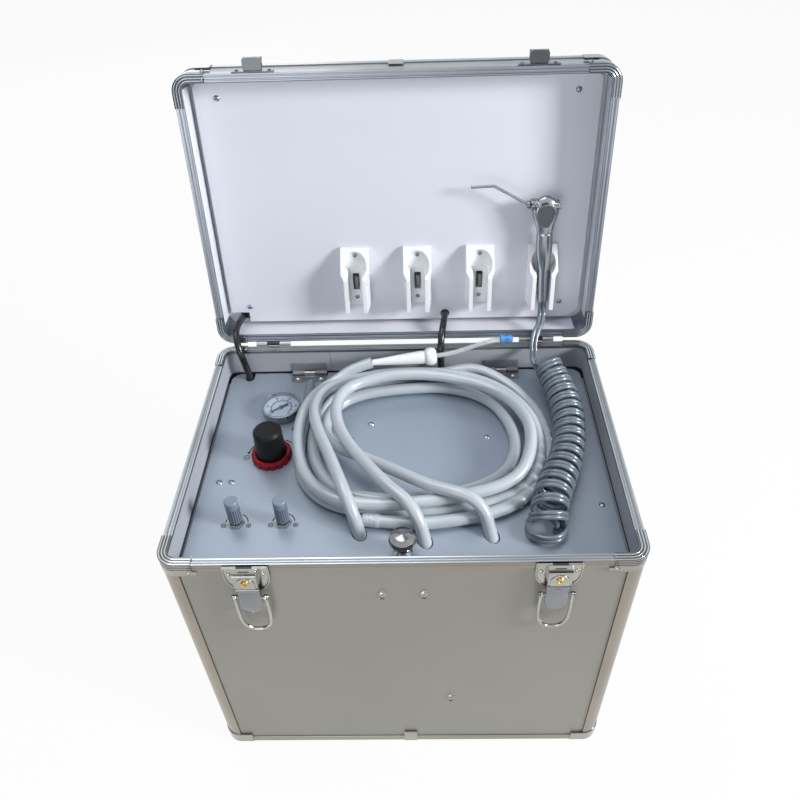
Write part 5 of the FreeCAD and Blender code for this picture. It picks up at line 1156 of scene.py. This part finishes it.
for start, end in ((128, 168), (62, 14)):
    marks.append(strip(arc(*REGULATOR, SWEEP_R, start, end), 1.3))
    ahead = end + math.copysign(6, end - start)
    head = [spoke(*REGULATOR, SWEEP_R + off, math.radians(angle))
            for off, angle in ((-2.0, end), (2.0, end), (0, ahead))]
    marks.append(prism([mm(*spot, DECK_FLOOR) for spot in head], INK_LIFT * MM))
circled(-158.3, 6.2, 2.8, False)
circled(-108.2, 6.2, 2.8, True)
for knob_x in WATER_KNOBS_X:
    for start, end in ((112, 172), (68, 8)):
        marks.append(strip(arc(knob_x, WATER_KNOBS_Y, WATER_SWEEP_R, start, end), 0.9))
    for way in (-1, 1):
        circled(knob_x + way * SIGN_ASIDE, WATER_KNOBS_Y - SIGN_BELOW, 2.1, way > 0)
print("deck marks:", len(marks))
piece("deck_marks", marks, "print_ink", "deck")

# %% [markdown]
# ## Screw recesses
# Each domed head has a cross recess. A boolean would change the CAD mesh, so two thin dark
# bars follow the dome's curve instead, as painted shade for the recess, and read the same.

# %% Screw recesses
SMALL_HEAD = (3.0, 1.6)
WALL_HEAD = (4.2, 2.2)
HOLDER_HEAD = (2.55, 1.28)
DECK_SCREWS = [(-180, -25.5), (-168, -25.5), (-35, 51), (-55, 30), (84, 30), (107.5, 37.5),
               (109.5, -59), (184.5, -59)]
HINGE_SCREWS_X = (-120.5, -94.5, 94.5, 120.5)
FRONT_SCREWS = ((-18, 288), (18, 288), (43, 99))
HOLDERS_X = (-51.0, 16.0, 83.0, 150.0)
GROOVE_REACH = 0.58
GROOVE_SUNK = 0.02


def recess(place, normal, head_radius, head_height):
    """Two crossing dark bars on a dome: painted shade for the cross recess."""
    ball = (head_radius ** 2 + head_height ** 2) / (2 * head_height)
    side = side_of(normal)
    grooves = []
    for arm in (side, normal.cross(side)):
        turned_arm = (arm * 0.8 + normal.cross(arm) * 0.6).normalized()
        line = []
        for share in (-1, -0.5, 0, 0.5, 1):
            reach = head_radius * GROOVE_REACH * share
            lift = head_height - ball + math.sqrt(ball ** 2 - reach ** 2)
            line.append(place + (turned_arm * reach + normal * (lift - GROOVE_SUNK)) * MM)
        grooves.append(swept(line, 0.3 * MM, 8))
    return grooves


SCREWS = {
    "deck": [(mm(x, y, DECK_FLOOR), UP, *SMALL_HEAD) for x, y in DECK_SCREWS]
            + [(mm(x, 123.7, 303.2), UP, *SMALL_HEAD) for x in HINGE_SCREWS_X],
    "front": [(mm(x, -143.7, z), Vector((0, -1, 0)), *WALL_HEAD) for x, z in FRONT_SCREWS],
    "lid": [(lid_place(x, height, 0), LID_OUT, *SMALL_HEAD)
            for x in (-173, 173) for height in (29, 257)]
           + [(lid_place(x, height, 3.0), LID_OUT, *HOLDER_HEAD)
              for x in HOLDERS_X for height in (41, 91)]}
for word, screws in SCREWS.items():
    piece(word + "_screw_recess_shade", [groove for screw in screws for groove in recess(*screw)],
          "dark_plastic", "case" if word == "front" else word)
    print(word, "screws:", len(screws))

# %% [markdown]
# ## Latches
# Each has a pressed shield with a rolled edge, a wedge-shaped box with a brass lock, a lever
# and a wire bail. A bevel modifier would round every edge alike, so each layer is its own
# prism or turning.

# %% Latch base
LATCH_MID = 130.0
RIM_TOP = 335.0
SHIELD = [(18.2, 0.8), (19.0, 1.8), (19.0, 13), (18.5, 19), (16.9, 24.5), (14.2, 29),
          (11.6, 32.4), (9.0, 34.4), (6.0, 35.0)]
LIP = [(-18.6, 0), (18.6, 0), (18.6, 3), (-18.6, 3)]
BOX_SIDE = [(0, 1.4), (2.4, 1.1), (8.1, 4.4), (8.6, 5.4), (8.6, 21.2), (8.2, 21.6), (0, 21.6)]
RIVET = [(0, 0), (2.0, 0), (1.9, 0.5), (1.3, 1.0), (0.5, 1.2), (0, 1.2)]
LOCK = [(0, 0), (3.4, 0), (3.5, 0.6), (3.0, 1.3), (1.9, 1.4), (1.5, 0.8), (0, 0.8)]
TONGUE_R = 8.0
TONGUE_MID = 15.0
# The openings are dark bars: painted shade in place of real holes.
# x, out and drop of one end, x and drop of the other, radius, sides
OPENINGS = [(0, 10.2, 12.3, 0, 14.7, 0.4, 8), (-4.5, 5.4, 2.6, 4.5, 2.6, 0.5, 8),
            (-6.5, 2.2, 0.9, 6.5, 0.9, 1.0, 12)]
OUTWARDS = mm(0, -1, 0)


def latch_place(side, x, out, drop):
    """Place on a latch: across from its middle, out of the wall, below the rim, in mm."""
    return mm(side * LATCH_MID + x, -WALL_OUT - out, RIM_TOP - drop)


shells = []
locks = []
opening_shade_bars = []
tongues = []
shield = SHIELD + [(-x, drop) for x, drop in reversed(SHIELD)]
tongue = [(-TONGUE_R, 21.4), *arc(0, TONGUE_MID, -TONGUE_R, 0, 180, 16), (TONGUE_R, 21.4)]
for side in (-1, 1):
    shells += [prism([latch_place(side, x, 0, drop) for x, drop in shield], OUTWARDS * 1.1),
               swept([latch_place(side, x, 1.2, drop) for x, drop in shield], 0.8 * MM, 12),
               prism([latch_place(side, x, out, 0.8) for x, out in LIP], mm(0, 0, -1.3)),
               prism([latch_place(side, -10, out, drop) for out, drop in BOX_SIDE], mm(20, 0, 0))]
    shells += [turned(RIVET, latch_place(side, x, 1.1, 12), OUTWARDS, 24) for x in (-15, 15)]
    tongues.append(prism([latch_place(side, x, 8.6, drop) for x, drop in tongue], OUTWARDS * 0.8))
    locks.append(turned(LOCK, latch_place(side, 0, 9.4, 13.5), OUTWARDS, 32))
    for x, out, drop, end_x, end_drop, radius, sides in OPENINGS:
        opening_shade_bars.append(bar(latch_place(side, x, out, drop),
                              latch_place(side, end_x, out, end_drop), radius, sides))
print("latch bases: 2 of", len(shells), "shell parts")
latch_base = piece("latch_shields", shells, "warm_nickel", "case")
piece("latch_locks", locks, "lock_brass", "case")
piece("latch_tongues", tongues, "warm_nickel", "case")
piece("latch_opening_shade", opening_shade_bars, "dark_plastic", "case")
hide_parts("latch_plates")

# %% [markdown]
# ## Latch levers and bails
# A lever is skinned over sections that follow its rounded end, each a crowned front and a
# flat back; a subdivided box would need many support edges. The bail is one wire along a
# spline, so that no corner kinks.

# %% Latch levers and bails
PIVOT_OUT = 6.0
PIVOT_DROP = 26.5
PEG_DROP = 38.5
LEVER_HALF = 9.8
LEVER_THICK = 2.2
LEVER_OUT = 8.5
LEVER_SLOPE = 1.1 / 31.5
ROUND_START = 47.5
ROUND_LENGTH = 10.4
ROUND_STEPS = 14
CROWN = (-1.0, -0.98, -0.93, -0.85, -0.7, -0.4, 0, 0.4, 0.7, 0.85, 0.93, 0.98, 1.0)
CROWN_FALL = 0.7
EDGE_FALL = 1.3
EDGE_START = 0.85
STRAIGHT_PART = ((27.6, 0.94), (28.0, 1), (34, 1), (41, 1))
FLANGE = ((7, 28), (7.4, 50), (6.4, 46), (4.6, 42), (4.6, 28))
BAIL_HALF = [(13.2, 38.5), (13.5, 47), (13.7, 58), (13.4, 68), (12.8, 76), (10.4, 83),
             (5.5, 87.4), (1.6, 88.2)]
BAIL = [(-x, drop) for x, drop in BAIL_HALF] + BAIL_HALF[::-1]
PEG_HEAD = [(0, 0), (2.1, 0), (2.5, 0.5), (2.5, 1.2), (1.9, 1.9), (0, 2.1)]
EYE = [(0, -1.1), (2.3, -1.1), (2.6, -0.7), (2.6, 0.7), (2.3, 1.1), (0, 1.1)]


def lever_section(side, drop, narrowing, past_end):
    """Ring of one section: crowned front, flat back; past_end runs from 0 to 1 at the tip."""
    front = LEVER_OUT + LEVER_SLOPE * (drop - PIVOT_DROP)
    half = LEVER_HALF * narrowing
    ring = []
    for share in CROWN:
        edge = math.hypot(share * narrowing, past_end)
        fall = CROWN_FALL * edge ** 2
        fall += EDGE_FALL * (max(edge - EDGE_START, 0) / (1 - EDGE_START)) ** 2
        ring.append(latch_place(side, half * share, front - fall, drop))
    return ring + [latch_place(side, x, front - LEVER_THICK, drop) for x in (half, -half)]


for side, word in ((-1, "left"), (1, "right")):
    sections = [lever_section(side, drop, narrowing, 0) for drop, narrowing in STRAIGHT_PART]
    for i in range(ROUND_STEPS + 1):
        angle = math.radians(89 * i / ROUND_STEPS)
        sections.append(lever_section(side, ROUND_START + ROUND_LENGTH * math.sin(angle),
                                      math.cos(angle), math.sin(angle)))
    roll = [latch_place(side, x, PIVOT_OUT, PIVOT_DROP) for x in (-10, 10)]
    pegs = [latch_place(side, x, PIVOT_OUT, PEG_DROP) for x in (-14, 14)]
    parts = [outward(ringed_mesh(sections)), bar(*roll, 2.5, 24), bar(*pegs, 1.3)]
    for x, inwards in ((-9.7, 0.9), (9.7, -0.9)):
        parts.append(prism([latch_place(side, x, out, drop) for out, drop in FLANGE],
                           mm(inwards, 0, 0)))
    for peg, way in zip(pegs, (-1, 1)):
        parts.append(turned(PEG_HEAD, peg, RIGHTWARDS * way, 24))
    lever = piece(word + "_latch_lever_pressing", parts, "lever_steel", word + "_latch_lever")
    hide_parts(word + "_latch_lever")
    wire_line = line_of([latch_place(side, x, PIVOT_OUT, drop) for x, drop in BAIL], 8)
    wire_parts = [swept(wire_line, 1.6 * MM, 16)]
    for x in (-12.9, 12.9):
        wire_parts.append(turned(EYE, latch_place(side, x, PIVOT_OUT, PEG_DROP), RIGHTWARDS, 24))
    bail = piece(word + "_latch_bail_wire", wire_parts, "warm_nickel", word + "_latch_bail")
    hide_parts(word + "_latch_bail")
    print(word, "latch: lever of", len(sections), "sections and a bail")

# %% [markdown]
# ## Catches on the lid
# Each latch pulls on a forged hook. Sculpting would round it more, but an outline with
# rounded shoulders, given its depth by a prism, is enough at this size.

# %% Catches on the lid
HOOK = [(-7.8, 0), (-8.2, 2.4), (-8.9, 3.8), (-8.9, 10.2), (-8.1, 11.7), (-4.6, 12.5),
        (4.6, 12.5), (8.1, 11.7), (8.9, 10.2), (8.9, 3.8), (8.2, 2.4), (7.8, 0)]
HOOK_LIP = [(-8.6, 8.5), (8.6, 8.5), (8.6, 12.0), (-8.6, 12.0)]
CATCH_PLATE = [(-19, 0), (19, 0), (19, 7), (15, 9.5), (-15, 9.5), (-19, 7)]
RIVET_HEAD = [(0, 0), (1.9, 0), (1.7, 0.6), (1.0, 1.0), (0, 1.1)]
HOOK_LOW = 340.6
HOOK_THICK = 4.4
PLATE_LOW = 338.0


def catch_place(side, x, out, height):
    """Place on the open lid's front edge: across from the catch, out of the wall, height shut."""
    return swing_open(Vector((side * LATCH_MID + x, -WALL_OUT - out, height)))


hooks = []
for side in (-1, 1):
    hooks += [prism([catch_place(side, x, out, HOOK_LOW) for x, out in HOOK],
                    LID_OUT * -HOOK_THICK * MM),
              prism([catch_place(side, x, out, HOOK_LOW + HOOK_THICK) for x, out in HOOK_LIP],
                    LID_OUT * -3.0 * MM),
              prism([catch_place(side, x, 0, PLATE_LOW + z) for x, z in CATCH_PLATE],
                    LID_UP * 1.2 * MM)]
    for x in (-15, 15):
        hooks.append(turned(RIVET_HEAD, catch_place(side, x, 1.2, PLATE_LOW + 5), LID_UP, 20))
catches = piece("lid_catch_hooks", hooks, "dark_steel", "lid")
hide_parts("lid_catches")
print("catches: 2 hooks in", len(catches.data.vertices), "points")

# %% [markdown]
# ## Ridges on the corner caps
# They are real relief, and a bump would leave the caps' outline flat, so fine bars, mostly
# sunk in the cap, run along both legs and round the bend. The same lines, swung open, serve
# the lid.

# %% Ridges on the corner caps
CAP_LEG = 29.0
CORNER = (189.0, 126.5)
BEND_R = 16.0
RIDGE_INSETS = (1.0, 3.5, 6.0)
RIDGE_R = 0.75 * MM
RIDGE_SUNK = 0.6
CAP_FACE = 335.8
LID_CAP_FACE = 336.2


def cap_lines(height):
    """Lines of all ridges: along a leg, round the bend and along the other leg, in mm."""
    lines = []
    for side_x, side_y in ((-1, -1), (-1, 1), (1, -1), (1, 1)):
        for inset in RIDGE_INSETS:
            reach = BEND_R - inset
            spots = [(BEND_R - CAP_LEG, reach), *arc(0, 0, reach, 90, 0, 14),
                     (reach, BEND_R - CAP_LEG)]
            lines.append([Vector((side_x * (CORNER[0] + x), side_y * (CORNER[1] + y), height))
                          for x, y in spots])
    return lines


case_ridges = [swept([spot * MM for spot in line], RIDGE_R, 10)
               for line in cap_lines(CAP_FACE - RIDGE_SUNK)]
lid_ridges = [swept([swing_open(spot) for spot in line], RIDGE_R, 10)
              for line in cap_lines(LID_CAP_FACE + RIDGE_SUNK)]
print("cap ridges:", len(case_ridges) + len(lid_ridges))
piece("case_cap_ridges", outward(joined(case_ridges)), "case_cap", "case")
piece("lid_cap_ridges", outward(joined(lid_ridges)), "lid_cap", "lid")

# %% [markdown]
# ## Valve lever pads
# Each holder's rocker has a ribbed thumb pad. A bump would not show from the side, so the
# ribs are thin bars half sunk in the pad.

# %% Valve lever pads
PAD_SIDE = [(66.8, 4.8), (66.8, 5.4), (60, 5.4), (52.5, 3.9), (52.5, 3.2), (60, 4.8)]
PAD_WIDTH = 3.6
PAD_SHIFT = 0.6
RIB_HEIGHTS = (53.6, 55.2, 56.8, 58.4, 60.0)
for number, x in enumerate(HOLDERS_X, 1):
    left_edge = x + PAD_SHIFT - PAD_WIDTH / 2
    pad_parts = [prism([lid_place(left_edge, height, out) for height, out in PAD_SIDE],
                       mm(PAD_WIDTH, 0, 0))]
    for height in RIB_HEIGHTS:
        out = 5.4 - 0.2 * (60 - height)
        pad_parts.append(bar(lid_place(left_edge, height, out),
                             lid_place(left_edge + PAD_WIDTH, height, out), 0.38, 10))
    piece("valve_pad_%d" % number, pad_parts, "lever_grey", "valve_lever_%d" % number)
print("valve pads:", len(HOLDERS_X))

# %% [markdown]
# ## Syringe body
# A polished turning swells into a flat-cheeked head. Cutting the cheeks off would need one
# more boolean, so the sections are ellipses that stop at the cheek's plane, and its shield
# outline comes by itself. Two bores take the buttons.

# %% Syringe body
CHEEK_OUT = 6.5
SYRINGE_SECTIONS = [
    (38.0, 4.6, 4.6, 9), (38.6, 5.5, 5.5, 9), (60, 5.7, 5.7, 9), (74, 5.8, 5.8, 9),
    (78, 6.1, 6.1, 9), (82, 6.8, 6.6, 9), (86, 7.5, 7.2, 9), (91, 8.2, 7.8, 9),
    (98, 8.5, 8.1, 9), (108, 8.5, 8.1, 9), (117.4, 8.3, 8.0, 9), (117.8, 7.8, 7.6, 9),
    (118.4, 7.8, 7.4, 9), (118.8, 8.2, 6.4, 6.5), (122.5, 8.8, 6.45, 6.5), (126, 9.8, 6.8, 6.5),
    (130, 10.9, 7.6, 6.5), (134, 12.2, 8.4, 6.5), (138, 13.2, 9.0, 6.5), (142, 13.5, 9.2, 6.5),
    (145, 13.4, 9.0, 6.5), (146.4, 13.2, 8.6, 6.5), (147.6, 12.9, 7.9, 6.5),
    (148.6, 12.5, 7.2, 6.5), (149.4, 12.2, 6.7, 6.5), (150.2, 11.9, 6.4, 6.5),
    (151.4, 11.2, 6.0, 6.5), (152.8, 10.1, 5.5, 6.5), (154.2, 8.6, 4.8, 6.5),
    (155.5, 6.9, 4.0, 6.5), (156.7, 4.9, 2.9, 6.5), (157.5, 3.0, 1.9, 6.5), (158.0, 0.9, 0.7, 6.5)]
SECTION_SIDES = 72
BUTTON_HEIGHT = 147.5
BUTTON_BORE = 2.75
BOSS = [(0, 7), (4.9, 7), (5.1, 8), (5.1, 13.2), (4.5, 13.9), (0, 13.9)]
BOSS_SIDES = 40
BOSS_FLAT = 6.3
NUT = [(0, 8), (5.6, 8), (6.0, 8.5), (6.0, 10.6), (5.3, 11.0), (5.3, 11.6), (6.0, 12.0),
       (6.0, 14.2), (5.0, 15.6), (3.4, 16.0), (0, 16.0)]
NUT_HEIGHT = 149.5
SIDEWAYS = (syringe_place(0, 0, 1) - syringe_place(0)).normalized()
FORWARDS = (syringe_place(0, 1) - syringe_place(0)).normalized()


def drilled(rings):
    """Skin over rings, with two bores side by side for the buttons."""
    drills = [bar(syringe_place(BUTTON_HEIGHT, offset, 5.6),
                  syringe_place(BUTTON_HEIGHT, offset, 20), BUTTON_BORE, 24)
              for offset in (-3.5, 3.5)]
    return bored(ringed_mesh(rings), joined(drills))


angles = [2 * math.pi * j / SECTION_SIDES for j in range(SECTION_SIDES)]
rings = [[syringe_place(height, min(deep * math.sin(a), flat), wide * math.cos(a))
          for a in angles] for height, wide, deep, flat in SYRINGE_SECTIONS]
angles = [2 * math.pi * j / BOSS_SIDES for j in range(BOSS_SIDES)]
boss_rings = []
for radius, reach in BOSS:
    outs = [max(min(radius * 1.28 * math.sin(a), BOSS_FLAT), -BOSS_FLAT) for a in angles]
    boss_rings.append([syringe_place(BUTTON_HEIGHT + max(radius, 0.05) * math.cos(a), out, reach)
                       for a, out in zip(angles, outs)])
nut = turned(NUT, syringe_place(NUT_HEIGHT), -SIDEWAYS, 40)
syringe = piece("syringe_handpiece", [drilled(rings), drilled(boss_rings), nut],
                "syringe_chrome", "syringe", 22)
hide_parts("syringe_body")
cheek = [(height, wide * math.sqrt(1 - (flat / deep) ** 2) - 0.4)
         for height, wide, deep, flat in SYRINGE_SECTIONS
         if flat == CHEEK_OUT and deep > flat + 0.05]
outline = [syringe_place(height, CHEEK_OUT - 0.05, half) for height, half in cheek]
outline += [syringe_place(height, CHEEK_OUT - 0.05, -half) for height, half in reversed(cheek)]
piece("syringe_cheek", prism(outline, FORWARDS * 0.15 * MM), "dark_steel", "syringe")
print("syringe sections:", len(SYRINGE_SECTIONS))

# %% [markdown]
# ## Hinge sleeves
# Black sleeves on the middle knuckles keep the lid from rattling. Their size could be copied
# from the CAD model, but measuring its box keeps them a fit.

# %% Hinge sleeves
HINGE_MID = 146.0
SLEEVE_HALF = 7.0
sleeve_radius = (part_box("case_hinges")[1][2] - LID_AXIS.z) / MM + 0.2
sleeves = [bar(LID_AXIS + mm(side * HINGE_MID - SLEEVE_HALF, 0, 0),
               LID_AXIS + mm(side * HINGE_MID + SLEEVE_HALF, 0, 0), sleeve_radius, 24)
           for side in (-1, 1)]
piece("hinge_sleeves", sleeves, "black_tube_pu", "case")
print("sleeve radius:", round(sleeve_radius, 2), "mm")
